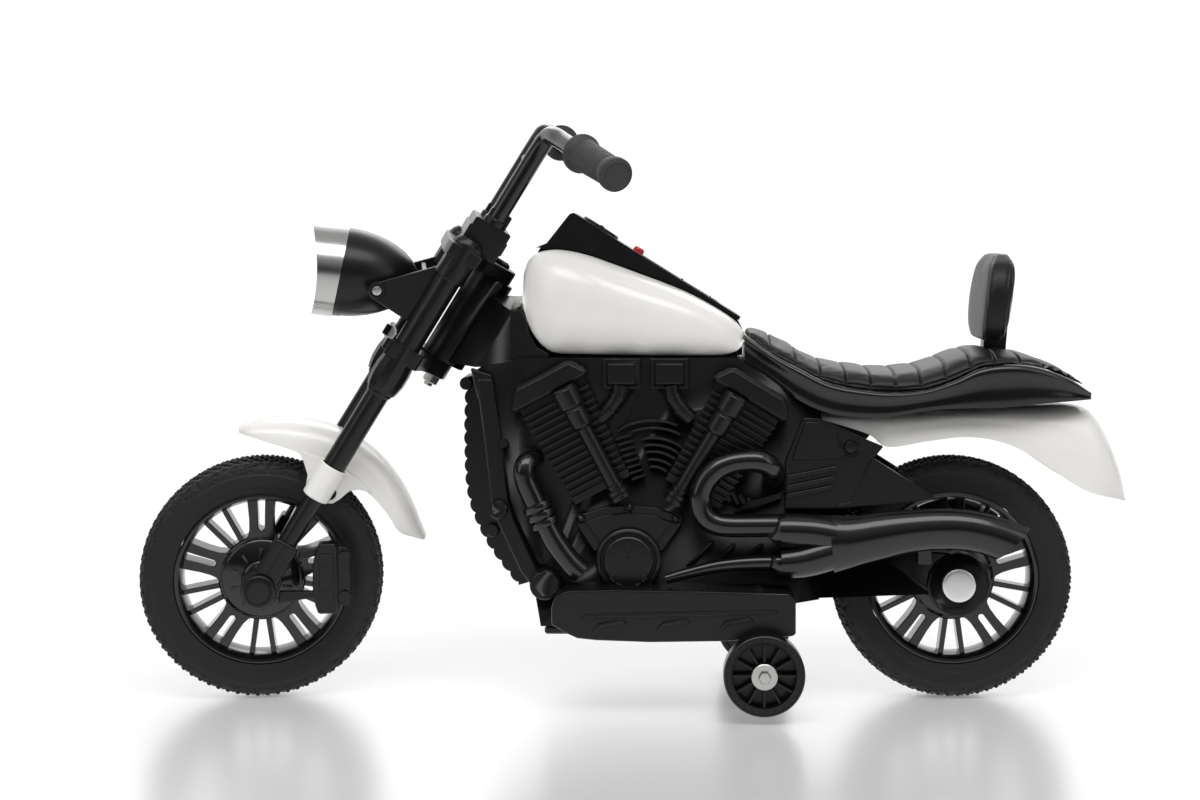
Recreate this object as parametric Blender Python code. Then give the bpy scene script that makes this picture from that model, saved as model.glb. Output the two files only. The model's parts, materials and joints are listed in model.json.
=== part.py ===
# Electric ride-on motorcycle for a small child: chopper style, with two training wheels.
# Sizes are in millimetres here and become metres when a mesh is made. +Z is up, the
# front points to -X, the rider's left is -Y, and the floor is z = 0.

import math

import bmesh
import bpy
from mathutils import Matrix, Vector

MM = 0.001
GAP = 0.3
LEFT = -1
RIGHT = 1
SIDES = (("left", LEFT), ("right", RIGHT))

# Wheels
WHEEL_RADIUS = 127.5
TYRE_BORE = 91.0
TYRE_HALF_WIDTH = 29.0
TREAD_LUGS = 15
TREAD_DEPTH = 3.2
REAR_X = 340.0
FRONT_X = -391.0
AXLE_Z = 127.5
FRONT_AXLE_Z = 128.8
AXLE_RADIUS = 6.0
CAP_RADIUS = 17.5

# Steering head
RAKE = math.radians(31.4)
TRAIL_OFFSET = 44.0
STEER_AT_REST = math.radians(9.0)
LEG_SPACING = 112.0
STEM_RADIUS = 9.0
HEAD_TUBE_RADIUS = 24.0
LEG_CAP = (374.0, 422.0)
LOWER_YOKE = (276.0, 294.0)
UPPER_YOKE = (397.0, 412.0)

# Body
BODY_HALF = 62.0
BODY_WALL = 4.0
FACE = BODY_HALF + GAP
BOARD_OUTER = 115.0
SEAT_RIBS = 13
SPINE_PITCH = 14.6

# Engine covers
CYLINDER_FINS = 11
FIN_PITCH = 8.8
FIN_OUTER = 74.0
PUSHROD_Y = 82.6
PUSHROD_LENGTH = 127.4

# Training wheels
TRAINER_RADIUS = 41.0
TRAINER_X = 136.0
TRAINER_Z = 49.0
TRAINER_INNER = 117.0
TRAINER_OUTER = 141.0

# Outlines in the side view, as (x, z) points
BODY_OUTLINE = [(-158, 350), (-112, 362), (112, 362), (119.5, 356.5), (148, 338.5), (176, 317.5),
                (198, 308.3), (200, 262), (196, 200), (196, 112), (172, 108), (172, 84.3), (-92, 84.3),
                (-99, 125), (-112, 146), (-134, 199), (-141, 215)]
ARM_OUTLINE = [(188, 170), (240, 168), (330, 160), (368, 145), (368, 112), (330, 101), (307, 117),
               (240, 115), (188, 113)]
NECK_SECTIONS = [[(-146.5, GAP / 2, 424), (-146.5, 28, 424), (-190, 28, 354.5), (-190, GAP / 2, 354.5)],
                 [(-122, GAP / 2, 424), (-124, 54, 411), (-160, 55, 352), (-158, GAP / 2, 350)],
                 [(-112.6, GAP / 2, 424), (-112.6, 56, 416), (-112.6, 57, 355), (-112.6, GAP / 2, 355)]]
BOARD_OUTLINE = [(-78, 112), (-76, 121), (-70, 127), (-61, 130), (-15, 131), (97, 129), (162, 127),
                 (168, 122), (169, 86), (165, 84), (97, 79), (22, 78), (-33, 80), (-52, 82),
                 (-65, 88), (-78, 96)]
BOARD_DASHES = (-42.0, 15.0, 72.0, 128.0)
CONSOLE_STEM_SIDE = [(-108, 362.4), (-108, 450), (-101, 466), (-94, 477), (-60, 480), (-10, 474),
                     (113, 400), (118, 390), (118, 362.4)]
CONSOLE_CAP_SIDE = [(-99, 476), (-88, 480.5), (-64, 511), (-60, 512.5), (-55, 510), (-34, 496.5), (-8, 480),
                    (116, 403), (114, 399.5), (93, 412.8), (64, 428.8), (38, 439.8), (14, 448.8),
                    (-16, 459.8), (-45, 469.8), (-69, 474.8), (-87, 474.8)]
COVER_FRONT = 160.5
# The front fender's fixing tab, as degrees and reach round the front axle
TAB_OUTLINE = [(38.8, 150), (43.6, 141.7), (46.3, 134.2), (47.2, 116.8), (49, 110.5), (56.7, 108.5),
               (65, 112), (67, 125), (70.6, 136.3), (74, 147), (60, 149), (48, 150)]

# Handlebar
BAR_RADIUS = 9.7
BAR_END = (-38, 208, 564.8)
BAR_INNER = (-65.5, 122, 582.5)
RISER_BEHIND = 12.5
RISER_Y = 33.0

# Tank, seat and rear fender, as (x, height) or (x, half width) rows
TANK_TOP = [(-112, 452), (-103, 468), (-87, 473), (-69, 473), (-45, 468), (-16, 458), (14, 447),
            (38, 438), (64, 427), (93, 411), (112, 398), (119, 388)]
TANK_LOW = [(-112, 418), (-103, 389), (-91, 374), (-79, 367), (-45, 365), (4, 364), (64, 363.5),
            (99, 364), (113, 368), (119, 377)]
TANK_HALF = [(-112, 44), (-100, 58), (-80, 67), (-45, 73), (0, 75), (50, 72), (85, 66), (110, 56),
             (119, 47)]
CONSOLE_STEM = 22.0
SEAT_LOW = [(119.5, 357), (148, 339), (176, 318), (205, 306), (235, 302), (270, 303), (305, 309),
            (335, 311), (387, 312), (420, 315), (455, 317), (480, 318)]
SEAT_EDGE = [(119.5, 386), (148, 366), (176, 351), (205, 337), (235, 331), (270, 328), (305, 331),
             (335, 341), (360, 352), (387, 356), (420, 353), (455, 341), (480, 326)]
SEAT_HALF = [(119.5, 49), (148, 60), (176, 68), (205, 74), (235, 78), (270, 80), (305, 81), (335, 81),
             (360, 80), (387, 78), (420, 73), (455, 64), (480, 50)]
SEAT_TOP = [(119.5, 397), (141, 390), (153, 381), (168, 375), (180, 366), (206, 357), (233, 353),
            (258, 350), (285, 351), (310, 355), (334, 364), (357, 371), (390, 371), (414, 365),
            (442, 355), (473, 337), (480, 330)]
FENDER_CROWN = [(200, 303), (234, 303), (270, 304), (310, 306), (350, 308), (395, 309), (432, 309),
                (462, 309)]

PIVOTS = {}


def clear_scene():
    for item in list(bpy.data.objects):
        bpy.data.objects.remove(item, do_unlink=True)


def plastic(name, colour, roughness, metallic=0.0):
    material = bpy.data.materials.new(name)
    material.use_nodes = True
    shader = material.node_tree.nodes["Principled BSDF"]
    shader.inputs["Base Color"].default_value = (*colour, 1.0)
    shader.inputs["Roughness"].default_value = roughness
    shader.inputs["Metallic"].default_value = metallic
    material.diffuse_color = (*colour, 1.0)
    return material


def matt_black(name):
    return plastic(name, (0.018, 0.018, 0.019), 0.5)


def gloss_black(name):
    return plastic(name, (0.008, 0.008, 0.009), 0.18)


def gloss_white(name):
    return plastic(name, (0.85, 0.85, 0.84), 0.3)


def pivot(name, at, parent=None, turn=None):
    """An empty on a joint's axis. Its pieces are made around it and parented to it."""
    empty = bpy.data.objects.new(name, None)
    bpy.context.collection.objects.link(empty)
    base = PIVOTS[parent.name] if parent else Vector((0, 0, 0))
    empty.parent = parent
    empty.location = (Vector(at) - base) * MM
    if turn:
        empty.rotation_euler = turn.to_euler()
    PIVOTS[name] = Vector(at)
    return empty


def place(name, shape, body):
    """Turns a shape in millimetres into a mesh object in metres on its body's pivot."""
    origin = PIVOTS[body.name] if body else Vector((0, 0, 0))
    for vertex in shape.verts:
        vertex.co = (vertex.co - origin) * MM
    bmesh.ops.recalc_face_normals(shape, faces=shape.faces)
    mesh = bpy.data.meshes.new(name)
    shape.to_mesh(mesh)
    shape.free()
    mesh.shade_smooth()
    mesh.set_sharp_from_angle(angle=math.radians(32))
    item = bpy.data.objects.new(name, mesh)
    bpy.context.collection.objects.link(item)
    item.parent = body
    return item


def piece(name, shape, material, body=None, add=(), cut=(), add_last=()):
    """One sub-part: a base shape with others joined to it, cut from it and joined at the end."""
    item = place(name, shape, body)
    item.data.materials.append(material(name))
    steps = [("UNION", other) for other in add] + [("DIFFERENCE", other) for other in cut]
    steps += [("UNION", other) for other in add_last]
    for number, (operation, other) in enumerate(steps):
        guide = place(f"{name}_guide_{number}", other, body)
        guide.hide_render = True
        guide.display_type = "WIRE"
        modifier = item.modifiers.new(f"{operation.lower()} {number}", "BOOLEAN")
        modifier.operation = operation
        modifier.solver = "EXACT"
        modifier.object = guide
    return item


def prism(outline, y_from, y_to, shrink=0.0):
    """An outline of (x, z) points pushed from one y to another, its far end shrunk."""
    shape = bmesh.new()
    middle = Vector((0, 0))
    for point in outline:
        middle += Vector(point) / len(outline)
    near = [shape.verts.new((x, y_from, z)) for x, z in outline]
    far = []
    for point in outline:
        offset = Vector(point) - middle
        scale = 1.0 - shrink / max(offset.length, shrink + 0.01)
        spot = middle + offset * scale
        far.append(shape.verts.new((spot.x, y_to, spot.y)))
    shape.faces.new(near)
    shape.faces.new(far)
    for index in range(len(outline)):
        after = (index + 1) % len(outline)
        shape.faces.new((near[index], near[after], far[after], far[index]))
    return shape


def block(low, high, bevel=0.0):
    """A box between two corners, with its edges bevelled."""
    shape = bmesh.new()
    bmesh.ops.create_cube(shape, size=1.0)
    for vertex in shape.verts:
        for axis in range(3):
            middle = (low[axis] + high[axis]) / 2
            vertex.co[axis] = middle + vertex.co[axis] * (high[axis] - low[axis])
    if bevel:
        bmesh.ops.bevel(shape, geom=shape.edges, offset=bevel, segments=1, affect="EDGES")
    return shape


def frame_along(direction):
    """Two unit vectors square to a direction."""
    along = Vector(direction).normalized()
    helper = Vector((0, 1, 0)) if abs(along.y) < 0.9 else Vector((1, 0, 0))
    first = helper.cross(along).normalized()
    return first, along.cross(first)


def bridge(shape, rings, closed_round=True):
    """Quads between neighbouring rings of vertices."""
    for one, two in zip(rings, rings[1:]):
        count = len(one)
        for index in range(count if closed_round else count - 1):
            after = (index + 1) % count
            shape.faces.new((one[index], one[after], two[after], two[index]))


def turned(profile, centre, axis=(0, 1, 0), steps=32, ring=False):
    """A turned shape from (radius, distance along the axis) points."""
    shape = bmesh.new()
    along = Vector(axis).normalized()
    first, second = frame_along(axis)
    rings = []
    for radius, distance in profile:
        spot = Vector(centre) + along * distance
        row = []
        for step in range(steps):
            angle = 2 * math.pi * step / steps
            reach = first * math.cos(angle) + second * math.sin(angle)
            row.append(shape.verts.new(spot + reach * radius))
        rings.append(row)
    if ring:
        rings.append(rings[0])
    bridge(shape, rings)
    if not ring:
        shape.faces.new(rings[0])
        shape.faces.new(rings[-1])
    return shape


def rod(start, end, radius, steps=16):
    """A round bar between two points."""
    span = Vector(end) - Vector(start)
    return turned([(radius, 0.0), (radius, span.length)], start, span, steps)


def smooth_path(points, per_span=4):
    """Points along a smooth curve through the given points."""
    spots = [Vector(point) for point in points]
    spots = [2 * spots[0] - spots[1]] + spots + [2 * spots[-1] - spots[-2]]
    path = []
    for index in range(1, len(spots) - 2):
        a, b, c, d = spots[index - 1:index + 3]
        for step in range(per_span):
            t = step / per_span
            path.append(0.5 * (2 * b + (c - a) * t + (2 * a - 5 * b + 4 * c - d) * t ** 2
                               + (3 * b - a - 3 * c + d) * t ** 3))
    path.append(spots[-2])
    return path


def tube(points, radii, sides=12, per_span=4, squash=1.0):
    """A tube along a smooth path. radii has one radius, or one for each given point."""
    path = smooth_path(points, per_span)
    if isinstance(radii, (int, float)):
        widths = [radii] * len(path)
    else:
        widths = [spot.x for spot in smooth_path([(radius, 0, 0) for radius in radii], per_span)]
    shape = bmesh.new()
    rings = []
    first = None
    for index, spot in enumerate(path):
        ahead = path[min(index + 1, len(path) - 1)]
        behind = path[max(index - 1, 0)]
        along = (ahead - behind).normalized()
        if first is None:
            first, second = frame_along(along)
        else:
            first = (first - along * first.dot(along)).normalized()
            second = along.cross(first)
        row = []
        for side in range(sides):
            angle = 2 * math.pi * side / sides
            reach = first * math.cos(angle) + second * math.sin(angle)
            reach.y *= squash
            row.append(shape.verts.new(spot + reach * widths[index]))
        rings.append(row)
    bridge(shape, rings)
    shape.faces.new(rings[0])
    shape.faces.new(rings[-1])
    return shape


def lofted(sections):
    """A closed shape through rings of points, with flat ends."""
    shape = bmesh.new()
    rings = [[shape.verts.new(point) for point in section] for section in sections]
    bridge(shape, rings)
    shape.faces.new(rings[0])
    shape.faces.new(rings[-1])
    return shape


def blade(sections, thickness, steps, flatness):
    """A thin crowned blade. Each section has its crown, its skirt's foot and half its width."""
    rings = []
    for crown, foot, half in sections:
        inwards = (Vector(foot) - Vector(crown)).normalized() * thickness
        ring = []
        for layer in (0, 1):
            top = Vector(crown) + inwards * layer
            wide = half - thickness * layer
            order = range(steps + 1) if layer == 0 else range(steps, -1, -1)
            for step in order:
                lean = math.pi * (step / steps - 0.5)
                y = wide * math.copysign(abs(math.sin(lean)) ** flatness, lean)
                spot = Vector(foot).lerp(top, max(math.cos(lean), 0.0) ** flatness)
                ring.append((spot.x, y, spot.y))
        rings.append(ring)
    return lofted(rings)


def table(rows, x):
    """Reads a value between the (x, value) rows of a short table."""
    if x <= rows[0][0]:
        return rows[0][1]
    for (x0, value0), (x1, value1) in zip(rows, rows[1:]):
        if x <= x1:
            return value0 + (value1 - value0) * (x - x0) / (x1 - x0)
    return rows[-1][1]


def inset(outline, amount):
    """The outline moved inwards by an amount, corner by corner."""
    area = sum(a[0] * b[1] - b[0] * a[1] for a, b in zip(outline, outline[1:] + outline[:1]))
    turn = 1.0 if area > 0 else -1.0
    moved = []
    for index, point in enumerate(outline):
        before = (Vector(point) - Vector(outline[index - 1])).normalized()
        after = (Vector(outline[(index + 1) % len(outline)]) - Vector(point)).normalized()
        normal_one = Vector((-before.y, before.x)) * turn
        normal_two = Vector((-after.y, after.x)) * turn
        corner = normal_one + normal_two
        corner *= amount / max(0.35, corner.length_squared / 2)
        moved.append((point[0] + corner.x, point[1] + corner.y))
    return moved


def arc_points(centre, radius, start, end, steps):
    """(x, z) points along an arc, angles in degrees from +X towards +Z."""
    points = []
    for step in range(steps + 1):
        angle = math.radians(start + (end - start) * step / steps)
        points.append((centre[0] + radius * math.cos(angle), centre[1] + radius * math.sin(angle)))
    return points


# The steering axis. Places on the front end are given by their distance along the fork
# from the front axle, how far they lie behind the fork's plane, and y.
AXIS_UP = Vector((math.sin(RAKE), 0, math.cos(RAKE)))
AXIS_BACK = Vector((math.cos(RAKE), 0, -math.sin(RAKE)))
FRONT_AXLE = Vector((FRONT_X, 0, FRONT_AXLE_Z))


def on_fork(along, behind=0.0, y=0.0):
    return FRONT_AXLE + AXIS_UP * along + AXIS_BACK * behind + Vector((0, y, 0))


def fork_block(low, high, bevel=0.0):
    """A box in the fork's own directions: (behind, y, along) corners."""
    shape = block(low, high, bevel)
    for vertex in shape.verts:
        behind, y, along = vertex.co
        vertex.co = on_fork(along, behind, y)
    return shape


def fork_plate(outline, along_from, along_to):
    """A plate square to the steering axis, from an outline of (behind, y) points."""
    shape = prism(outline, along_from, along_to)
    for vertex in shape.verts:
        behind, along, y = vertex.co
        vertex.co = on_fork(along, behind, y)
    return shape


# Wheels

def tyre(name, centre, body):
    """A foam tyre: one section swept round, with lugs cut across its shoulders."""
    section = [(TYRE_BORE, -23, 0), (104, -28, 0), (118, -TYRE_HALF_WIDTH, 0.6),
               (WHEEL_RADIUS, -19, 1), (WHEEL_RADIUS, 19, 1), (118, TYRE_HALF_WIDTH, 0.6),
               (104, 28, 0), (TYRE_BORE, 23, 0)]
    columns_per_lug = 3
    columns = TREAD_LUGS * columns_per_lug
    shape = bmesh.new()
    rings = []
    for column in range(columns):
        row = []
        for radius, y, share in section:
            shift = 1 if y > 0 else 0
            groove = 1.0 if (column + shift) % columns_per_lug == 0 else 0.0
            reach = radius - TREAD_DEPTH * share * groove
            angle = 2 * math.pi * (column + 0.5) / columns - math.pi / 2
            row.append(shape.verts.new((centre[0] + reach * math.cos(angle), y,
                                        centre[2] + reach * math.sin(angle))))
        rings.append(row)
    rings.append(rings[0])
    bridge(shape, rings)
    return piece(name, shape, matt_black, body)


def spoke(centre, angle, start, end, hub_width, rim_width, half_depth, lean=0.0):
    """A tapered bar from the hub to the rim. lean turns its outer end round the wheel."""
    inner = Vector((math.cos(angle), math.sin(angle)))
    outer = Vector((math.cos(angle + lean), math.sin(angle + lean)))
    across_in = Vector((-inner.y, inner.x))
    across_out = Vector((-outer.y, outer.x))
    middle = Vector((centre[0], centre[2]))
    outline = [middle + inner * start - across_in * hub_width / 2,
               middle + outer * end - across_out * rim_width / 2,
               middle + outer * end + across_out * rim_width / 2,
               middle + inner * start + across_in * hub_width / 2]
    return prism([(point.x, point.y) for point in outline], -half_depth, half_depth)


def rim(name, centre, body, hub_left, hub_right):
    """A moulded rim: a flanged barrel, five forked spokes, ten thin ones and a hub."""
    outer = TYRE_BORE - 0.5
    barrel = turned([(outer, -21), (outer, 21), (outer - 8, 15), (outer - 8, -15)], centre,
                    steps=26, ring=True)
    hub = turned([(AXLE_RADIUS + 0.5, -hub_left), (16, -hub_left), (19, -24), (41, -17),
                  (41, 17), (19, 19), (16, hub_right), (AXLE_RADIUS + 0.5, hub_right)],
                 centre, steps=12, ring=True)
    spokes = []
    for index in range(5):
        angle = math.radians(90 + 72 * index)
        for side in (-1, 1):
            spokes.append(spoke(centre, angle + side * 0.11, 38, 85, 10, 8.5, 14, side * 0.07))
            spokes.append(spoke(centre, angle + side * math.radians(28), 38, 85, 4.5, 3.5, 11))
    return piece(name, hub, gloss_black, body, add=spokes + [barrel])


def hub_cap(name, centre, side, start, body, radius=CAP_RADIUS):
    """A domed nut cover on a wheel's axle."""
    profile = [(radius, start), (radius, start + 5.4), (radius - 1.6, start + 7)]
    make = chrome if name.startswith("rear") else matt_black
    return piece(name, turned(profile, centre, (0, side, 0), 14), make, body)


def chrome(name):
    return plastic(name, (0.75, 0.75, 0.76), 0.15, 1.0)


def training_wheel(name, side, body):
    """A ribbed plastic wheel: a tread ring, a web with twelve ribs and a hub."""
    centre = (TRAINER_X, 0, TRAINER_Z)
    direction = (0, side, 0)
    middle = (TRAINER_INNER + TRAINER_OUTER) / 2
    wheel = turned([(TRAINER_RADIUS, TRAINER_INNER + 1), (TRAINER_RADIUS, TRAINER_OUTER - 1),
                    (32, TRAINER_OUTER), (32, middle - 3),
                    (13, middle - 3), (13, TRAINER_OUTER - 0.5), (5.3, TRAINER_OUTER - 0.5),
                    (5.3, TRAINER_INNER)], centre, direction, 18, ring=True)
    ribs = []
    for index in range(12):
        angle = 2 * math.pi * index / 12
        rib = spoke(centre, angle, 11, 34, 2.4, 2.4, 6)
        bmesh.ops.translate(rib, verts=rib.verts, vec=(0, side * (middle + 2.5), 0))
        ribs.append(rib)
    return piece(name, wheel, matt_black, body, add=ribs)


# Front end

def front_end(steering):
    fork_leg_y = LEG_SPACING / 2
    for label, side in SIDES:
        y = side * fork_leg_y
        leg = turned([(10, 30), (10, 148), (12.1, 150), (12.1, 236), (14, 238), (14, LEG_CAP[1] - 10),
                      (12, LEG_CAP[1] - 8)], on_fork(0, 0, y), AXIS_UP, 12)
        foot = fork_block((-13, y - 13, -8), (13, y + 13, 57), 4)
        eye = turned([(19, -12), (19, 12)], on_fork(0, 0, y), (0, 1, 0), 16)
        bore = rod(on_fork(0, 0, y - 20), on_fork(0, 0, y + 20), AXLE_RADIUS + GAP, 12)
        piece(f"fork_leg_{label}", leg, matt_black, steering, add=[foot, eye], cut=[bore])
    axle = rod(on_fork(0, 0, -68.9), on_fork(0, 0, 68.9), AXLE_RADIUS, 12)
    piece("front_axle", axle, chrome, steering)

    waist = [(-19, -72), (19, -72), (28, -40), (53, -18), (56.5, 0), (53, 18), (28, 40), (19, 72),
             (-19, 72), (-14, 20), (-14, -20)]
    collars = [turned([(15.8, 240), (19, 259), (17, 281), (17, LOWER_YOKE[1])],
                      on_fork(0, 0, side * fork_leg_y), AXIS_UP, 12) for _, side in SIDES]
    stem = rod(on_fork(LOWER_YOKE[0] + 2, TRAIL_OFFSET), on_fork(UPPER_YOKE[1] - 3, TRAIL_OFFSET),
               STEM_RADIUS, 12)
    sockets = [rod(on_fork(200, 0, side * fork_leg_y), on_fork(330, 0, side * fork_leg_y),
                   14 + GAP, 12) for _, side in SIDES]
    plate = fork_plate(waist, *LOWER_YOKE)
    piece("lower_yoke", plate, matt_black, steering, add=collars + [stem], cut=sockets)

    top_outline = [(-18, -73), (18, -73), (26, -40), (60, -18), (63.5, 0), (60, 18), (26, 40),
                   (18, 73), (-18, 73), (-22, 40), (-22, -40)]
    top = fork_plate(top_outline, *UPPER_YOKE)
    clamp = fork_block((-8, -46, UPPER_YOKE[1] - 2), (34, 46, UPPER_YOKE[1] + 34), 3)
    caps = [turned([(17.2, LEG_CAP[0]), (17.2, LEG_CAP[1] - 7), (12.5, LEG_CAP[1])], on_fork(0, 0, side * fork_leg_y), AXIS_UP, 12) for _, side in SIDES]
    tabs = [fork_block((2, y - 6, UPPER_YOKE[1] + 30), (26, y + 6, UPPER_YOKE[1] + 50), 2)
            for y in (-33, 33)]
    stem_seat = rod(on_fork(UPPER_YOKE[0] - 20, TRAIL_OFFSET), on_fork(UPPER_YOKE[1] + 0.5, TRAIL_OFFSET),
                    STEM_RADIUS + GAP, 12)
    leg_seats = [rod(on_fork(360, 0, side * fork_leg_y), on_fork(LEG_CAP[1] - 7.6, 0, side * fork_leg_y),
                     14 + GAP, 12) for _, side in SIDES]
    risers = [tube(bar_path(side, GAP), BAR_RADIUS + GAP, 8, 1) for _, side in SIDES]
    piece("upper_yoke", top, matt_black, steering, add=[clamp] + caps + tabs,
          cut=[stem_seat] + leg_seats + risers)
    handlebar(steering)
    headlight(steering)
    front_fender(steering)
    brake(steering)


def bar_path(side, spare=0.0):
    """One half of the bar from its grip end to its foot, each end longer by a spare length."""
    foot = on_fork(UPPER_YOKE[1] + 8 - spare, RISER_BEHIND, RISER_Y)
    end = Vector(BAR_END) + (Vector(BAR_END) - Vector(BAR_INNER)).normalized() * spare
    half = [end, BAR_INNER, (-78, 80, 591.5), (-85, 60, 596.5), (-89, 46, 596.8), (-93, 36.5, 592),
            on_fork(536, RISER_BEHIND, RISER_Y), foot]
    return [(x, side * y, z) for x, y, z in half]


def handlebar(steering):
    """One bent steel tube: two risers, two pulled-back arms, and a rubber grip on each."""
    tubes = [tube(bar_path(side), BAR_RADIUS, 8, 1) for _, side in SIDES]
    brace = rod(on_fork(522, RISER_BEHIND, -RISER_Y - 4), on_fork(522, RISER_BEHIND, RISER_Y + 4), 7.5, 8)
    piece("handlebar", tubes[0], gloss_black, steering, add=[brace, tubes[1]])
    for label, side in SIDES:
        end, inner = [Vector(spot) for spot in bar_path(side)[:2]]
        along = (end - inner).normalized()
        length = (end - inner).length
        profile = [(8, 3), (20, 3), (20, 7.5), (16, 11), (14.8, length - 14), (17, length - 7),
                   (17, length - 1), (15, length + 3), (8, length + 4)]
        bore = tube(bar_path(side, GAP), BAR_RADIUS + GAP, 8, 1)
        piece(f"grip_{label}", turned(profile, inner, along, 10), matt_black, steering, cut=[bore])


def headlight(steering):
    """A deep round lamp on two ears: bowl, visor ring and clear lens."""
    tilt = math.radians(7.0)
    front = Vector((-math.cos(tilt), 0, math.sin(tilt)))
    centre = Vector((-309, 0, 452))
    bowl = [(46.5, 2), (46.5, -14), (43, -32), (36, -52), (26, -70), (13, -81), (3, -84)]
    hollow = turned([(43.5, 6), (43.5, -4), (38, -34), (26, -56)], centre, front, 14)
    piece("headlight_bowl", turned(bowl, centre, front, 18), matt_black, steering, cut=[hollow])
    ring = [(48.4, 2.4), (48.4, 31), (46.6, 31), (46.6, 8), (44.0, 6.2), (44.0, 2.4)]
    visor = turned(ring, centre, front, 20, ring=True)
    scoop = rod(centre + front * 66 + Vector((0, -70, 0)), centre + front * 66 + Vector((0, 70, 0)),
                43, 16)
    piece("headlight_bezel", visor, chrome, steering, cut=[scoop])
    piece("headlight_lens", turned([(43.2, 3.2), (43.2, 5.8), (34, 10), (12, 13)], centre, front, 16),
          clear_lens, steering)
    ears = []
    legs = []
    for _, side in SIDES:
        outline = [(-274, 432), (-264, 445), (-204, 462), (-200, 445), (-226, 404), (-238, 404)]
        ears.append(prism(outline, side * 48, side * 53.5))
        y = side * LEG_SPACING / 2
        legs.append(rod(on_fork(300, 0, y), on_fork(440, 0, y), 14 + GAP, 12))
        legs.append(rod(on_fork(LEG_CAP[0] - GAP, 0, y), on_fork(440, 0, y), 17.2 + GAP, 12))
    bar = block((-222, -52, 442), (-217, 52, 456))
    screws = [rod((-269, side * 41.4, 437), (-269, side * 56, 437), 5, 8) for _, side in SIDES]
    piece("headlight_bracket", bar, matt_black, steering, add=ears + screws, cut=legs)


def clear_lens(name):
    return plastic(name, (0.9, 0.92, 0.95), 0.05)


def front_fender(steering):
    """A thin crowned blade over the front wheel, with a tube socket on each side."""
    # station angle round the wheel, crown radius, skirt radius, half width
    stations = [(98, 163.5, 158, 16), (94, 166, 155, 26), (87, 169.5, 149.5, 33), (76, 173, 144.5, 36),
                (62, 177.5, 141.5, 36), (48, 178.5, 143.5, 36), (37, 177.5, 147, 36), (27, 176, 149.5, 34),
                (19, 175.5, 153, 29), (13, 177, 172, 18)]
    sections = []
    for angle, crown, skirt, half in stations:
        out = Vector((math.cos(math.radians(angle)), math.sin(math.radians(angle))))
        hub = Vector((FRONT_X, AXLE_Z))
        sections.append((hub + out * crown, hub + out * skirt, half))
    shape = blade(sections, 2.6, 6, 0.75)
    add = []
    cut = []
    for _, side in SIDES:
        y = side * LEG_SPACING / 2
        tab = []
        for angle, reach in TAB_OUTLINE:
            lean = math.radians(angle)
            tab.append((FRONT_X + reach * math.cos(lean), AXLE_Z + reach * math.sin(lean)))
        add.append(prism(tab, side * 34.2, side * 38))
        web_ends = sorted((side * 35.2, side * 53.4))
        add.append(fork_block((-12.3, web_ends[0], 113.7), (11.6, web_ends[1], 145.1)))
        add.append(turned([(14, 110), (14.5, 112), (14.5, 146), (13.5, 147.5)], on_fork(0, 0, y),
                          AXIS_UP, 12))
        cut.append(rod(on_fork(90, 0, y), on_fork(170, 0, y), 10 + GAP, 12))
    piece("front_fender", shape, gloss_white, steering, add=add, cut=cut)


def brake(steering):
    """A moulded brake block that hangs behind the left fork foot."""
    y = -LEG_SPACING / 2
    body = block((-333, y - 8, 101), (-311, y + 9, 175), 3)
    arms = []
    for along, z in ((46, 160), (10, 118)):
        start = on_fork(along, 13 + GAP, y)
        arms.append(block((start.x - 1, y - 5, z - 6), (-325, y + 5, z + 6), 0))
    eye = rod(on_fork(0, 0, y - 30), on_fork(0, 0, y + 30), 19.7, 24)
    piece("brake_caliper", body, matt_black, steering, add=arms,
          cut=[fork_block((-40, y - 30, -60), (13 + GAP, y + 30, 140)), eye])


# Body

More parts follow.
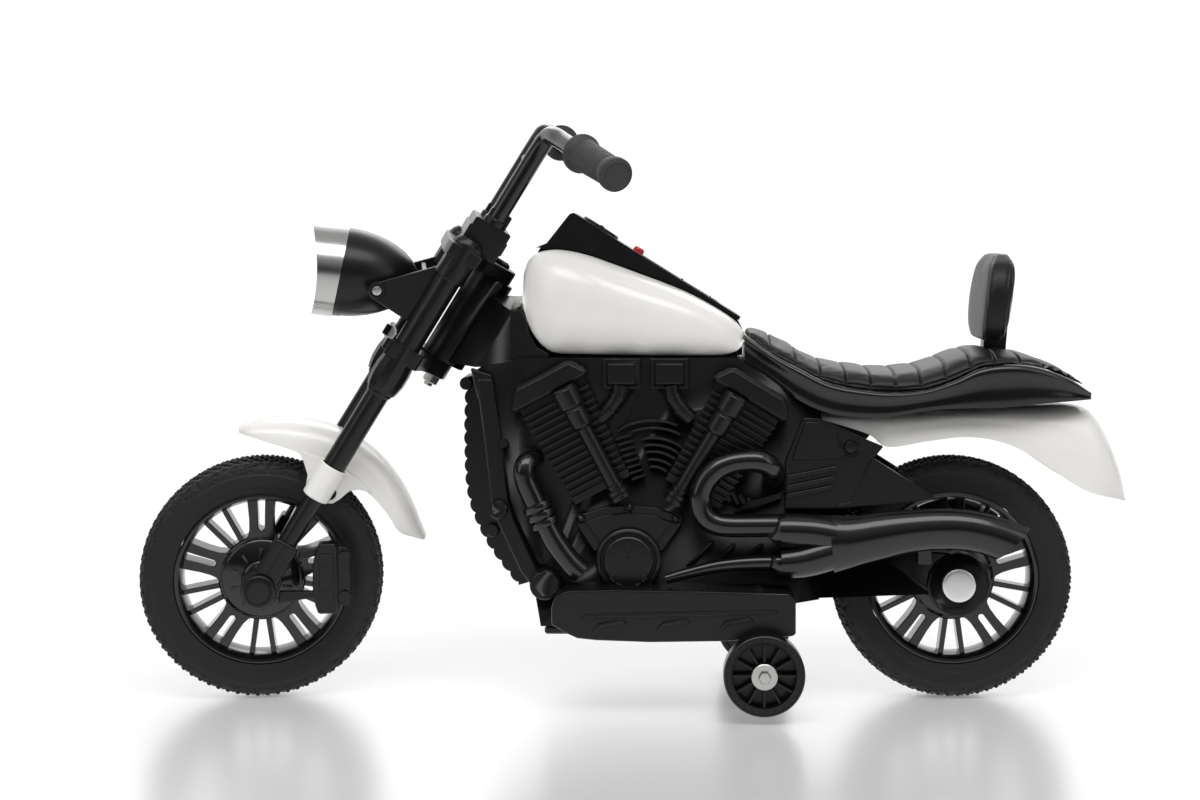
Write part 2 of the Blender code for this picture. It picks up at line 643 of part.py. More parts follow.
def body_shell(label, side):
    """Half of the moulded body, with the neck, the frame tube and the rear wheel's arm."""
    shell = prism(BODY_OUTLINE, side * GAP / 2, side * BODY_HALF)
    opening = [(x, 60 if z < 100 else z) for x, z in inset(BODY_OUTLINE, BODY_WALL)]
    hollow = prism(opening, side * -1, side * (BODY_HALF - BODY_WALL))
    neck = lofted([[(x, side * y, z) for x, y, z in section] for section in NECK_SECTIONS])
    head = turned([(HEAD_TUBE_RADIUS, LOWER_YOKE[1] + GAP), (HEAD_TUBE_RADIUS, UPPER_YOKE[0] - GAP)],
                  on_fork(0, TRAIL_OFFSET), AXIS_UP, 14)
    stem_bore = rod(on_fork(250, TRAIL_OFFSET), on_fork(440, TRAIL_OFFSET), STEM_RADIUS + 0.8, 16)
    frame_tube = tube([(-150, side * 64, 342), (-141, side * 65, 280), (-133, side * 65, 216),
                       (-126, side * 65, 196), (-103, side * 65, 146), (-86, side * 65, 127)], 9.3, 8, 1)
    arm = prism(ARM_OUTLINE, side * 42, side * 61)
    boss = turned([(33, 42), (33, 62), (30, 64)], (REAR_X, 0, AXLE_Z), (0, side, 0), 16)
    pegs = [turned([(10, 55), (10, 76), (8, 78)], (-134, 0, 208), (0, side, 0), 10),
            turned([(16, 55), (16, 78), (13, 80)], (-86, 0, 131), (0, side, 0), 14)]
    boxes = []
    for x in (-8, 41):
        sections = []
        for y, draw in ((59, 0), (70, 0), (76, 6)):
            sections.append([(x - 18 + draw, side * y, 332 + draw), (x + 18 - draw, side * y, 332 + draw),
                             (x + 18 - draw, side * y, 361 - draw), (x - 18 + draw, side * y, 361 - draw)])
        boxes.append(lofted(sections))
    intakes = [tube([(-6, side * 67, 334), (-9, side * 67, 322), (-20, side * 66, 308)], 8, 6, 1),
               tube([(40, side * 67, 334), (44, side * 67, 322), (56, side * 66, 306)], 8, 6, 1)]
    across = sorted((side * GAP / 2, -side * 60))
    other_half = block((-260, across[0], 40), (400, across[1], 460))
    axle_bore = rod((REAR_X, 0, AXLE_Z), (REAR_X, side * 61, AXLE_Z), AXLE_RADIUS + GAP, 16)
    piece(f"body_shell_{label}", shell, matt_black,
          add=[neck, head, frame_tube, arm, boss] + pegs + boxes + intakes,
          cut=[hollow, stem_bore, other_half, axle_bore])


def in_engine_frame(shape, origin, lean):
    """Turns a shape made upright at the origin to a cylinder's own lean."""
    turn = Matrix.Rotation(lean, 4, "Y")
    for vertex in shape.verts:
        vertex.co = turn @ vertex.co + Vector(origin)
    return shape


def engine_cylinder(name, side, origin, lean, rod_shift):
    """A finned cylinder with its rocker cover and pushrod tube, moulded as one cover."""
    comb = [(FACE, 2), (68, 2)]
    for index in range(CYLINDER_FINS):
        top = -6 - FIN_PITCH * index
        comb += [(68, top), (FIN_OUTER, top), (FIN_OUTER, top - 3.2), (68, top - 3.2)]
    comb += [(68, -103), (73, -103), (73, -112), (FACE, -112)]
    shape = bmesh.new()
    ends = []
    for x in (-1, 1):
        ends.append([shape.verts.new((x * (38 + 0.06 * z), side * y, z)) for y, z in comb])
    bridge(shape, ends)
    for end in ends:
        shape.faces.new(end)
    cover = prism([(-44, 0), (44, 0), (44, 8), (32, 24), (-32, 24), (-44, 8)],
                  side * FACE, side * 82, shrink=5)
    push = turned([(13, 1.3), (13, -20.6), (10.5, -22.9), (10.5, -43.1), (8, -45.3), (8, 16 - PUSHROD_LENGTH),
                   (11.5, 14 - PUSHROD_LENGTH), (11.5, -PUSHROD_LENGTH)],
                  (rod_shift, side * PUSHROD_Y, 0), (0, 0, 1), 8)
    extra = [in_engine_frame(part, origin, lean) for part in (cover, push)]
    piece(name, in_engine_frame(shape, origin, lean), matt_black, add=extra)


def timing_cover(label, side):
    """The round cover on the crankcase, with the fan-shaped plate above it."""
    centre = (-1, 0, 154)
    disc = turned([(34, FACE), (34, 78), (31, 81), (27.5, 81), (26, 79.5), (24, 82.5)],
                  centre, (0, side, 0), 16)
    fan = arc_points((-1, 154), 30, 42, 138, 3) + [(-53, 196), (-28, 207), (-1, 212), (26, 207), (52, 196)]
    plate = prism(fan, side * FACE, side * 72, shrink=2)
    bolts = [rod((x, side * FACE, z), (x, side * 75, z), 4.5, 6)
             for x, z in ((-55, 195), (-1, 211), (54, 195))]
    piece(f"timing_cover_{label}", disc, matt_black, add=[plate] + bolts)


def pipes(label, side):
    header = tube([(-78, side * 71, 262), (-95, side * 80, 262), (-108, side * 84, 246),
                   (-99, side * 84, 224), (-90, side * 84, 203), (-76, side * 84, 176),
                   (-60, side * 84, 154), (-48.5, side * 84, 143.5)], 11.7, 8, 1)
    clamp = tube([(-96, side * 84, 216), (-84, side * 84, 190)], 15.5, 8, 1)
    face_ends = sorted((side * 50, side * (FIN_OUTER + GAP)))
    face = block((-120, face_ends[0], 225), (-40, face_ends[1], 290))
    piece(f"header_pipe_{label}", header, gloss_black, add=[clamp], cut=[face])

    s_pipe = [(152, side * 70, 240), (150, side * 80, 246), (142, side * 88, 254), (130, side * 90, 258),
              (103, side * 90, 256), (82, side * 90, 243), (72, side * 91, 221), (78, side * 91, 202.5),
              (96, side * 91, 193), (123, side * 90, 192.5), (155, side * 89, 192.5),
              (157, side * 88, 188), (184, side * 88, 186), (216, side * 87, 180)]
    s_radii = [11.7] * 11 + [16.5, 16.5, 16]
    low_pipe = [(38, side * 84, 137), (60, side * 86, 143.4), (92, side * 88, 151), (125, side * 88, 154),
                (155, side * 88, 154.5), (158, side * 88, 155), (186, side * 88, 159), (218, side * 87, 170)]
    low_radii = [5.2, 5.8, 6.8, 7.8, 8.4, 15.5, 16, 16]
    main = [(200, side * 87, 171), (220, side * 87, 174), (254, side * 86, 180.5), (278, side * 85, 185),
            (314, side * 84, 187.7), (351, side * 83, 185), (384, side * 82, 175), (415, side * 81, 160)]
    main_radii = [22, 26, 25.5, 23.2, 21.5, 21.5, 22.5, 23.5]
    slant = prism([(371.5 - 60, 153.1 - 55.3), (409.4 + 50, 188 + 46.1), (500, 60), (300, 60)],
                  side * 40, side * 130)
    mouth = tube([(358, side * 82.7, 183), (384, side * 82, 175), (415, side * 81, 160)], 19.5, 12, 1, 0.72)
    lug_ends = sorted((side * 61.3, side * 74))
    lug = block((297, lug_ends[0], 150), (311, lug_ends[1], 178))
    seat_ends = sorted((side * 50, side * (75 + GAP)))
    seat = block((COVER_FRONT - GAP, seat_ends[0], 206.5), (216, seat_ends[1], 300))
    piece(f"exhaust_{label}", tube(main, main_radii, 12, 1, 0.78), gloss_black,
          add=[tube(s_pipe, s_radii, 8, 1), tube(low_pipe, low_radii, 8, 1), lug],
          cut=[slant, mouth, seat])


def side_cover(label, side):
    """The triangular cover behind the rear cylinder, with three ribs and its strut."""
    outline = [(179, 301), (196, 300), (262, 271), (252, 259), (316, 218), (272, 212), (212, 207.4),
               (COVER_FRONT, 206.9), (COVER_FRONT, 256)]
    ribs = []
    for low, end in ((236.5, 215), (226.3, 212), (217.5, 209)):
        start = COVER_FRONT + 0.6
        rise = (end - start) * 0.19
        ribs.append(prism([(start, low), (end, low + rise), (end, low + rise + 5), (start, low + 5)],
                          side * 70, side * 75))
    bolt = turned([(7, 70), (7, 78), (5, 79)], (227.5, 0, 271), (0, side, 0), 12)
    piece(f"side_cover_{label}", prism(outline, side * FACE, side * 73), matt_black,
          add=ribs + [bolt])


def footboard(label, side):
    """A hollow moulded board, open below, with a raised panel on its outer wall."""
    board = prism(BOARD_OUTLINE, side * FACE, side * BOARD_OUTER)
    hollow = prism([(-70, 60), (161, 60), (161, 121), (-60, 124), (-70, 116)],
                   side * (FACE + 4), side * (BOARD_OUTER - 4))
    panel = prism([(-42, 108), (144, 112), (147, 90), (-34, 88)], side * (BOARD_OUTER - 1),
                  side * (BOARD_OUTER + 1.5), shrink=1.5)
    boss = rod((-86, side * 50, 131), (-86, side * 84, 131), 16.7, 14)
    cover = rod((-1, side * 50, 154), (-1, side * 84, 154), 34.9, 16)
    add = [panel]
    cut = [hollow, boss, cover]
    for x in BOARD_DASHES:
        z = 130.5 - 0.012 * (x + 15)
        low = min(side * 72, side * 108)
        high = max(side * 72, side * 108)
        if label == "left" or x > 20:
            add.append(block((x, low, z - 3), (x + 9, high, z + 1.6)))
    if label == "right":
        cut.append(block((-52, 83, 124), (14, 111.5, 140)))
        add.append(block((-56, 82, 117), (18, 114, 122)))
    piece(f"footboard_{label}", board, matt_black, add=add, cut=cut)


def floor_pan():
    pan = block((-88, -BODY_HALF, 76), (168, BODY_HALF, 84), 2)
    piece("floor_pan", pan, matt_black)


# Tank, seat and rear

def tank_panel(label, side):
    """A crowned white tank side, rounded over at its top and tucked in at its bottom."""
    stations = [-112, -107, -98, -86, -68, -45, -16, 14, 42, 68, 92, 108, 116, 119]
    sections = []
    inner = CONSOLE_STEM + GAP
    for x in stations:
        top = table(TANK_TOP, x)
        low = table(TANK_LOW, x)
        half = table(TANK_HALF, x)
        section = [(x, side * inner, low), (x, side * inner, top)]
        for step in range(8):
            share = step / 7
            bulge = math.sin(math.radians(28 + 122 * share)) ** 0.75
            y = inner + 6 + (half - inner - 6) * (bulge if step else 0.35)
            if step == 0:
                section.append((x, side * y, top))
            else:
                section.append((x, side * y, top + (low - top) * share ** 0.92))
        sections.append(section)
    piece(f"tank_panel_{label}", lofted(sections), gloss_white)


SLOPE = math.atan2(479 - 403, 116 + 8)
SLOPE_UP = Vector((math.sin(SLOPE), 0, math.cos(SLOPE)))
SLOPE_BACK = Vector((math.cos(SLOPE), 0, -math.sin(SLOPE)))


def on_slope(x, height=0.0, back=0.0, y=0.0):
    """A place over the console's sloping top."""
    z = 479 - math.tan(SLOPE) * (x + 8)
    return Vector((x, y, z)) + SLOPE_UP * height + SLOPE_BACK * back


def slope_block(x, low, high, bevel=0.0):
    """A box in the slope's own directions: (back, y, height) corners."""
    shape = block(low, high, bevel)
    for vertex in shape.verts:
        back, y, height = vertex.co
        vertex.co = on_slope(x, height, back, y)
    return shape


def console():
    """The black spine of the tank: dash pod in front, three controls on its slope."""
    core = prism(CONSOLE_STEM_SIDE, -CONSOLE_STEM, CONSOLE_STEM)
    cap = prism(CONSOLE_CAP_SIDE, -29, 29)
    recess = slope_block(20, (-22, -19, -2.5), (84, 19, 6))
    holes = [rod(on_slope(7, -14), on_slope(7, 8), 6 + GAP, 20),
             slope_block(46, (-12.2, -8.5, -14), (12.2, 8.5, 8)),
             slope_block(78, (-9.3, -7, -14), (9.3, 7, 8))]
    piece("tank_console", core, matt_black, add=[cap], cut=[recess] + holes)


def controls():
    horn = pivot("horn_slide", on_slope(7))
    shape = turned([(6, -11), (6, 4.8), (4.5, 6.3)], on_slope(7), SLOPE_UP, 16)
    piece("horn_button", shape, red, horn)
    for name, x, half, width, make in (("direction_rocker", 46, 10.6, 8.2, matt_black),
                                       ("power_rocker", 78, 7.6, 6.7, red)):
        empty = pivot(f"{name}_pivot", on_slope(x, -4))
        outline = [(-half, -1), (0, -3.5), (half, 2), (half - 1.5, -9), (-half + 1.5, -9)]
        shape = prism(outline, -width, width)
        for vertex in shape.verts:
            back, y, height = vertex.co
            vertex.co = on_slope(x, height + 0.5, back, y)
        piece(name, shape, make, empty)


def red(name):
    return plastic(name, (0.6, 0.01, 0.01), 0.35)


def seat_base():
    """The glossy tray under the pad, a skirt with a hollow underside."""
    outer = []
    inner = []
    for x in (119.5, 148, 176, 205, 235, 270, 305, 335, 360, 387, 420, 455, 468, 480):
        low = table(SEAT_LOW, x)
        edge = table(SEAT_EDGE, x) - 1
        half = table(SEAT_HALF, x)
        outer.append([(x, -half, low), (x, -half - 1.5, low + 5), (x, -half, edge - 5),
                      (x, -half + 5, edge), (x, half - 5, edge), (x, half, edge - 5),
                      (x, half + 1.5, low + 5), (x, half, low)])
        if 176 <= x <= 468:
            top = max(edge - 6, low + 7)
            inner.append([(x, -half + 5, low - 20), (x, -half + 5, top), (x, half - 5, top),
                          (x, half - 5, low - 20)])
    socket = block((371.6, -11.35, 300), (397.8, 11.35, 380))
    rails = []
    for y in (-22, 22):
        under = [(x, z - 0.5) for x, z in FENDER_CROWN if 234 <= x <= 432]
        over = [(x, table(SEAT_EDGE, x) - 4) for x in (432, 387, 335, 270, 234)]
        rails.append(prism(under + over, y - 2.5, y + 2.5))
    piece("seat_base", lofted(outer), gloss_black, cut=[lofted(inner), socket], add_last=rails)


def seat_pad():
    """The cushion: crowned, drawn in along its edges, with sewn channels across it."""
    start, stop = 120.5, 478.0
    rib = (stop - 24 - start) / SEAT_RIBS
    per_rib = 2
    stations = [start + rib * index / per_rib for index in range(SEAT_RIBS * per_rib + 1)]
    stations += [stop - 16, stop - 8, stop]
    sections = []
    for number, x in enumerate(stations):
        edge = table(SEAT_EDGE, x) - 1 + 3 * GAP
        half = table(SEAT_HALF, x) - 1.5
        top = table(SEAT_TOP, x)
        in_channel = number % per_rib == 0 and number <= SEAT_RIBS * per_rib
        sink = 3.2 if in_channel else 0.0
        taper = min(1.0, (x - start) / 10 + 0.5, (stop - x) / 18 + 0.35)
        rise = max(top - edge, 4.0)
        section = [(x, -half + 4, edge), (x, half - 4, edge)]
        for share, lift in ((1.0, 0.3), (0.9, 0.74), (0.45, 0.97), (-0.45, 0.97), (-0.9, 0.74), (-1.0, 0.3)):
            height = edge + rise * lift * taper - sink * (0.3 + 0.7 * lift)
            section.append((x, half * share, max(height, edge + 1.2)))
        sections.append(section)
    post_hole = block((367, -15, 300), (402, 15, 420))
    piece("seat_pad", lofted(sections), leather_black, cut=[post_hole])


def leather_black(name):
    return plastic(name, (0.012, 0.012, 0.013), 0.45)


def backrest():
    """A padded backrest on a flat post that plugs into the seat."""
    post = prism([(372, 330), (396, 330), (398, 372), (403, 430), (394, 432), (374, 376)], -11, 11)
    piece("backrest_post", post, matt_black)
    across = 12
    front_line = [(374, 378), (372, 392), (374, 415), (379, 440), (384, 458), (388, 469)]
    depth = [5, 9, 11, 11, 9, 4]
    half = [48, 62, 68, 66, 54, 34]
    rear_line = [(393, 379), (397, 392), (401, 415), (404, 440), (404, 458), (398, 470)]
    sections = []
    for (xf, zf), (xr, zr), push, width in zip(front_line, rear_line, depth, half):
        section = []
        for step in range(across + 1):
            share = -1 + 2 * step / across
            bow = (1 - abs(share) ** 3)
            section.append((xf + 7 - (push + 6) * bow * 0.9, width * share, zf))
        for step in range(across - 1, 0, -1):
            share = -1 + 2 * step / across
            section.append((xr - 4 + 4 * (1 - abs(share) ** 4), width * share, zr))
        sections.append(section)
    slot = prism([(371.6, 366), (396.4, 366), (398.5, 372), (403.6, 432.5), (393.5, 432.5), (373.6, 376)],
                 -11 - GAP, 11 + GAP)
    piece("backrest_pad", lofted(sections), leather_black, cut=[slot])


def rear_fender():
    """A white saddle blade: wide under the seat, rounded over and swept down at its tail."""
    # crown x, crown z, skirt x, skirt z, half width
    stations = [(200, 303, 200, 300, 52), (234, 303, 246, 283, 56), (270, 304, 270, 269, 58),
                (310, 306, 311, 275, 58), (350, 308, 346, 279, 58), (395, 309, 381, 275, 58),
                (432, 309, 410, 264, 58), (462, 309, 438, 246, 57), (484, 304, 462, 230, 55),
                (498, 285, 480, 221, 52), (508, 264, 494, 217, 47), (516, 240, 506, 214, 40),
                (522, 212, 519, 210, 30)]
    sections = [((cx, cz), (sx, sz), half) for cx, cz, sx, sz, half in stations]
    shape = blade(sections, 2.6, 6, 0.6)
    piece("rear_fender", shape, gloss_white)


# Drive and stabilisers

def drive():
    piece("rear_axle", rod((REAR_X, -60, AXLE_Z), (REAR_X, 60, AXLE_Z), AXLE_RADIUS, 16), chrome)
    housing = turned([(36, 19.8), (38, 22), (38, 38), (34, 41.6)], (REAR_X, 0, AXLE_Z), (0, 1, 0), 12)
    lobe = turned([(27, 20.2), (27, 41.2)], (REAR_X - 42, 0, AXLE_Z + 18), (0, 1, 0), 12)
    bore = rod((REAR_X, 10, AXLE_Z), (REAR_X, 50, AXLE_Z), AXLE_RADIUS + GAP, 12)
    piece("motor_gearbox", housing, matt_black, add=[lobe], cut=[bore])
    piece("battery", block((-30, -24, 84.3), (76, 24, 154), 2), matt_black)


def stabilisers():
    """One bent steel strap under the floor pan, with a bolt for each training wheel."""
    strap = block((TRAINER_X - 12, -110, 67), (TRAINER_X + 12, 110, 71.6))
    legs = []
    for _, side in SIDES:
        low = min(side * 106, side * 111)
        high = max(side * 106, side * 111)
        legs.append(block((TRAINER_X - 12, low, TRAINER_Z - 14), (TRAINER_X + 12, high, 71.6)))
    pads = [block((TRAINER_X - 10, -40, 71), (TRAINER_X + 10, 40, 75.7))]
    holes = [rod((TRAINER_X, side * 100, TRAINER_Z), (TRAINER_X, side * 116, TRAINER_Z), 5.0 + GAP, 16)
             for _, side in SIDES]
    piece("stabilizer_bar", strap, zinc, add=legs + pads, cut=holes)
    for label, side in SIDES:
        profile = [(8, 102.5), (8, 105.7), (5, 105.7), (5, TRAINER_OUTER + GAP),
                   (13, TRAINER_OUTER + GAP), (13, TRAINER_OUTER + 2), (6, TRAINER_OUTER + 2),
                   (6, TRAINER_OUTER + 7.5)]
        bolt = turned(profile, (TRAINER_X, 0, TRAINER_Z), (0, side, 0), 10)
        piece(f"training_bolt_{label}", bolt, zinc)


def zinc(name):
    return plastic(name, (0.6, 0.6, 0.58), 0.35, 1.0)


def pedal():
    """The sprung accelerator pedal in the right footboard."""
    empty = pivot("pedal_pivot", (8, 97, 128))
    plate = prism([(12, 124 + 2 * GAP), (12, 131), (-46, 137), (-50, 133)], 84.5, 110)
    piece("foot_pedal", plate, matt_black, empty)


def grille_spine():
    """The ribbed guard down the front of the frame: a curved strip with rounded ribs."""
    back = [(-157.2, 343.5), (-141, 215), (-134, 199), (-112, 146), (-99.7, 126.3)]
    front = smooth_path([(-168, 338, 0), (-169, 270, 0), (-165, 214, 0), (-146, 168, 0), (-114, 122, 0)], 12)
    length = sum((b - a).length for a, b in zip(front, front[1:]))
    bumps = round(length / SPINE_PITCH)
    steps_per_bump = 3
    outline = []
    travelled = 0.0
    target = 0.0
    for spot, ahead in zip(front, front[1:]):
        run = ahead - spot
        normal = Vector((run.y, -run.x)).normalized()
        while target <= travelled + run.length:
            number = len(outline)
            lift = 3.2 if number % steps_per_bump else 0.0
            at = spot + run * ((target - travelled) / run.length)
            outline.append((at.x + normal.x * lift, at.y + normal.y * lift))
            target += length / (bumps * steps_per_bump) - 1e-6
        travelled += run.length
    outline += [(x - GAP - 0.1, z) for x, z in reversed(back)]
    bars = [rod((-170, -30, 332), (-170, 30, 332), 6.5, 14), rod((-143, -30, 178), (-143, 30, 178), 7, 14)]
    piece("grille_spine", prism(outline, -24, 24), matt_black, add=bars)


def build():
    clear_scene()
    turn = Matrix.Rotation(STEER_AT_REST, 4, AXIS_UP)
    steering = pivot("steering_axis", on_fork(280, TRAIL_OFFSET), turn=turn)
    front_wheel = pivot("front_wheel_axis", FRONT_AXLE, parent=steering)
    rear_wheel = pivot("rear_wheel_axis", (REAR_X, 0, AXLE_Z))

    tyre("front_tyre", FRONT_AXLE, front_wheel)
    rim("front_rim", FRONT_AXLE, front_wheel, 41, 41)
    for label, side in SIDES:
        hub_cap(f"front_cap_{label}", FRONT_AXLE, side, 69.3, steering)
        hub_cap(f"rear_cap_{label}", (REAR_X, 0, AXLE_Z), side, 64.3, None)
    tyre("rear_tyre", (REAR_X, 0, AXLE_Z), rear_wheel)
    rim("rear_rim", (REAR_X, 0, AXLE_Z), rear_wheel, 40.5, 19.4)
    front_end(steering)

    for label, side in SIDES:
        body_shell(label, side)
        engine_cylinder(f"engine_front_{label}", side, (-80, 0, 325), -math.radians(28), 14)
        engine_cylinder(f"engine_rear_{label}", side, (122, 0, 317), math.radians(31), -14)
        timing_cover(label, side)
        pipes(label, side)
        side_cover(label, side)
        footboard(label, side)
        tank_panel(label, side)
        trainer = pivot(f"training_axis_{label}", (TRAINER_X, 0, TRAINER_Z))
        training_wheel(f"training_wheel_{label}", side, trainer)
    floor_pan()
    console()
    controls()
    seat_base()
    seat_pad()
    backrest()
    rear_fender()
    drive()
    stabilisers()
    pedal()
    grille_spine()


build()
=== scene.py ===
# Electric ride-on motorcycle for a small child, in chopper style.
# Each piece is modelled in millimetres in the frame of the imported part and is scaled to
# metres when it is finished. The camera and the studio are in metres. The front points to
# -X and the rider's left to -Y.

import json
import math

import bpy
from mathutils import Matrix, Vector


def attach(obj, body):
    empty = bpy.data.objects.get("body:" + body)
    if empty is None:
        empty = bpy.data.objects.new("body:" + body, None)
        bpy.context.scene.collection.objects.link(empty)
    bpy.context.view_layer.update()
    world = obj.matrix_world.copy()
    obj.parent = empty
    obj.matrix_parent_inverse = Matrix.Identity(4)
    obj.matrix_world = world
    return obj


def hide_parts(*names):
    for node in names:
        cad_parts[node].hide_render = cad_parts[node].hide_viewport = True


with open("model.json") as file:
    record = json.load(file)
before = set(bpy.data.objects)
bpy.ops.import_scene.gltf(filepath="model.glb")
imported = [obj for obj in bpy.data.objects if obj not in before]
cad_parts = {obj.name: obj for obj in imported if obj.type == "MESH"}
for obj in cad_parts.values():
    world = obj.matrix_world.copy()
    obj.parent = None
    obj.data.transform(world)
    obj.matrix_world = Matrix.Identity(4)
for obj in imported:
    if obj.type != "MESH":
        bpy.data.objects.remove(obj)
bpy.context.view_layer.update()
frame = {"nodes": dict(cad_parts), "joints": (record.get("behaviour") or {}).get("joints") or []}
bpy.ops.object.select_all(action="DESELECT")


# Camera
# A product shot from the rider's left, level and square to the side, with a normal lens.
# The picture's middle lies below and ahead of the lens axis, so the lens is shifted.

camera_data = bpy.data.cameras.new("camera")
camera = bpy.data.objects.new("camera", camera_data)
bpy.context.collection.objects.link(camera)
bpy.context.scene.camera = camera
camera_data.lens = 61.97
camera_data.sensor_width = 36.0
camera_data.clip_end = 50.0
camera_data.shift_x = -0.0583
camera_data.shift_y = -0.1458
camera.location = (0.0417, -2.2, 0.4995)
camera.rotation_euler = (math.pi / 2, 0.0, 0.0)
bpy.context.scene.view_settings.view_transform = "Standard"


# Studio
# A white sweep of paper under soft lamps. The floor has a faint polish, so that the
# wheels are mirrored in it, and it keeps their shadows.

def linear(hex_colour):
    """The linear colour that Blender wants for an sRGB hex colour."""
    values = [int(hex_colour[i:i + 2], 16) / 255 for i in (0, 2, 4)]
    return [v / 12.92 if v <= 0.04045 else ((v + 0.055) / 1.055) ** 2.4 for v in values] + [1.0]


def node(material, kind, links=(), **settings):
    """Adds a shader node. Links are (socket, node, output), and settings name sockets or properties."""
    made = material.node_tree.nodes.new(kind)
    for key, value in settings.items():
        label = key.replace("_", " ")
        if label in made.inputs:
            made.inputs[label].default_value = value
        else:
            setattr(made, key, value)
    for socket, other, output in links:
        material.node_tree.links.new(made.inputs[socket], other.outputs[output])
    return made


def new_material(name):
    """A node material with nothing in it yet."""
    material = bpy.data.materials.new(name)
    material.use_nodes = True
    material.node_tree.nodes.clear()
    return material


SWEEP_HALF = 6.0
SWEEP_BACK = 3.2
SWEEP_HEIGHT = 4.0
SWEEP_RADIUS = 1.2

paper = new_material("white_sweep_paper")
paper_white = node(paper, "ShaderNodeBsdfDiffuse", Color=(0.92, 0.92, 0.92, 1.0))
paper_place = node(paper, "ShaderNodeTexCoord")
paper_axes = node(paper, "ShaderNodeSeparateXYZ", [("Vector", paper_place, "Object")])
# The polish is only on the flat part, and it fades towards the back.
paper_polished = node(paper, "ShaderNodeMapRange", [("Value", paper_axes, "Y")],
                      From_Min=-0.6, From_Max=1.6, To_Min=0.66, To_Max=0.3)
paper_gloss = node(paper, "ShaderNodeBsdfGlossy", Color=(0.95, 0.95, 0.95, 1.0), Roughness=0.27)
paper_polish = node(paper, "ShaderNodeMixShader",
                    [(0, paper_polished, 0), (1, paper_white, 0), (2, paper_gloss, 0)])
paper_lit = node(paper, "ShaderNodeEmission", Color=(1.0, 1.0, 1.0, 1.0), Strength=1.08)
# Mirrored in the part, the paper is dimmer in front, where the room is unlit, than behind.
paper_shade = node(paper, "ShaderNodeMapRange", [("Value", paper_axes, "Y")],
                   From_Min=-4.5, From_Max=-0.1, To_Min=0.07, To_Max=1.15)
paper_dim = node(paper, "ShaderNodeEmission", [("Strength", paper_shade, 0)], Color=(1.0, 1.0, 1.0, 1.0))
ray = node(paper, "ShaderNodeLightPath")
# Behind the part the lamps on the backdrop burn it out to white.
paper_burnt = node(paper, "ShaderNodeMapRange", [("Value", paper_axes, "Y")],
                   From_Min=0.3, From_Max=1.8, To_Min=0.2, To_Max=1.0)
burnt_share = node(paper, "ShaderNodeMath", [(0, ray, "Is Camera Ray"), (1, paper_burnt, 0)],
                   operation="MULTIPLY")
paper_seen = node(paper, "ShaderNodeMixShader",
                  [(0, burnt_share, 0), (1, paper_polish, 0), (2, paper_lit, 0)])
paper_mix = node(paper, "ShaderNodeMixShader",
                 [(0, ray, "Is Glossy Ray"), (1, paper_seen, 0), (2, paper_dim, 0)])
node(paper, "ShaderNodeOutputMaterial", [("Surface", paper_mix, 0)])

bpy.ops.mesh.primitive_grid_add(x_subdivisions=2, y_subdivisions=60, size=2.0)
sweep = bpy.context.object
sweep.name = "paper_sweep"
bend_start = SWEEP_HALF + SWEEP_BACK - SWEEP_RADIUS
for vertex in sweep.data.vertices:
    run = (vertex.co.y + 1) / 2 * (2 * SWEEP_HALF + SWEEP_HEIGHT)
    turn = min(max((run - bend_start) / SWEEP_RADIUS, 0.0), math.pi / 2)
    flat = min(run, bend_start) - SWEEP_HALF
    wall = max(run - bend_start - SWEEP_RADIUS * math.pi / 2, 0.0)
    y = flat + SWEEP_RADIUS * math.sin(turn)
    z = SWEEP_RADIUS * (1 - math.cos(turn)) + wall
    vertex.co = (vertex.co.x * SWEEP_HALF, y, z)
bpy.ops.object.shade_smooth()
sweep.data.materials.append(paper)

world = bpy.data.worlds.new("studio")
bpy.context.scene.world = world
world.use_nodes = True
world.node_tree.nodes["Background"].inputs["Color"].default_value = (1.0, 1.0, 1.0, 1.0)
# The room is dark at eye level and pale towards the ceiling.
room_place = node(world, "ShaderNodeTexCoord")
room_axes = node(world, "ShaderNodeSeparateXYZ", [("Vector", room_place, "Generated")])
room_light = node(world, "ShaderNodeMapRange", [("Value", room_axes, "Z")],
                  From_Min=0.08, From_Max=0.75, To_Min=0.05, To_Max=0.6)
world.node_tree.links.new(world.node_tree.nodes["Background"].inputs["Strength"], room_light.outputs[0])

SOFTBOX_COLOUR = (1.0, 0.99, 0.975)


def softbox(name, place, aim, width, height, power):
    """A large soft lamp that faces a point."""
    light = bpy.data.lights.new(name, "AREA")
    light.shape = "RECTANGLE"
    light.size = width
    light.size_y = height
    light.energy = power
    light.color = SOFTBOX_COLOUR
    lamp = bpy.data.objects.new(name, light)
    bpy.context.collection.objects.link(lamp)
    lamp.location = place
    lamp.visible_camera = False
    lamp.rotation_mode = "QUATERNION"
    lamp.rotation_quaternion = (Vector(aim) - Vector(place)).to_track_quat("-Z", "Y")


softbox("softbox_top", (0.0, -1.3, 2.15), (0.0, 0.0, 0.3), 2.8, 1.0, 40.0)
softbox("softbox_front", (-2.1, -1.5, 1.3), (0.0, 0.0, 0.35), 1.0, 1.8, 8.0)
softbox("softbox_rear", (2.1, -1.5, 1.3), (0.0, 0.0, 0.35), 1.0, 1.8, 8.0)
softbox("softbox_behind", (0.2, 2.1, 1.9), (0.0, 0.0, 0.35), 2.4, 1.2, 20.0)


# Tyres
# Moulded foam rubber rings pressed over the rims: a plain sidewall, wavy sipes across each
# shoulder, and rows of round nubs round the tread. Foam rubber is dull and charcoal grey.

MM = 0.001
TYRE_BORE = 91.0
TREAD_BASE = 124.0
TREAD_HALF = 17.6
SHOULDER_HALF = 26.4
SHOULDER_RADIUS = 113.0
BEAD_HALF = 22.5
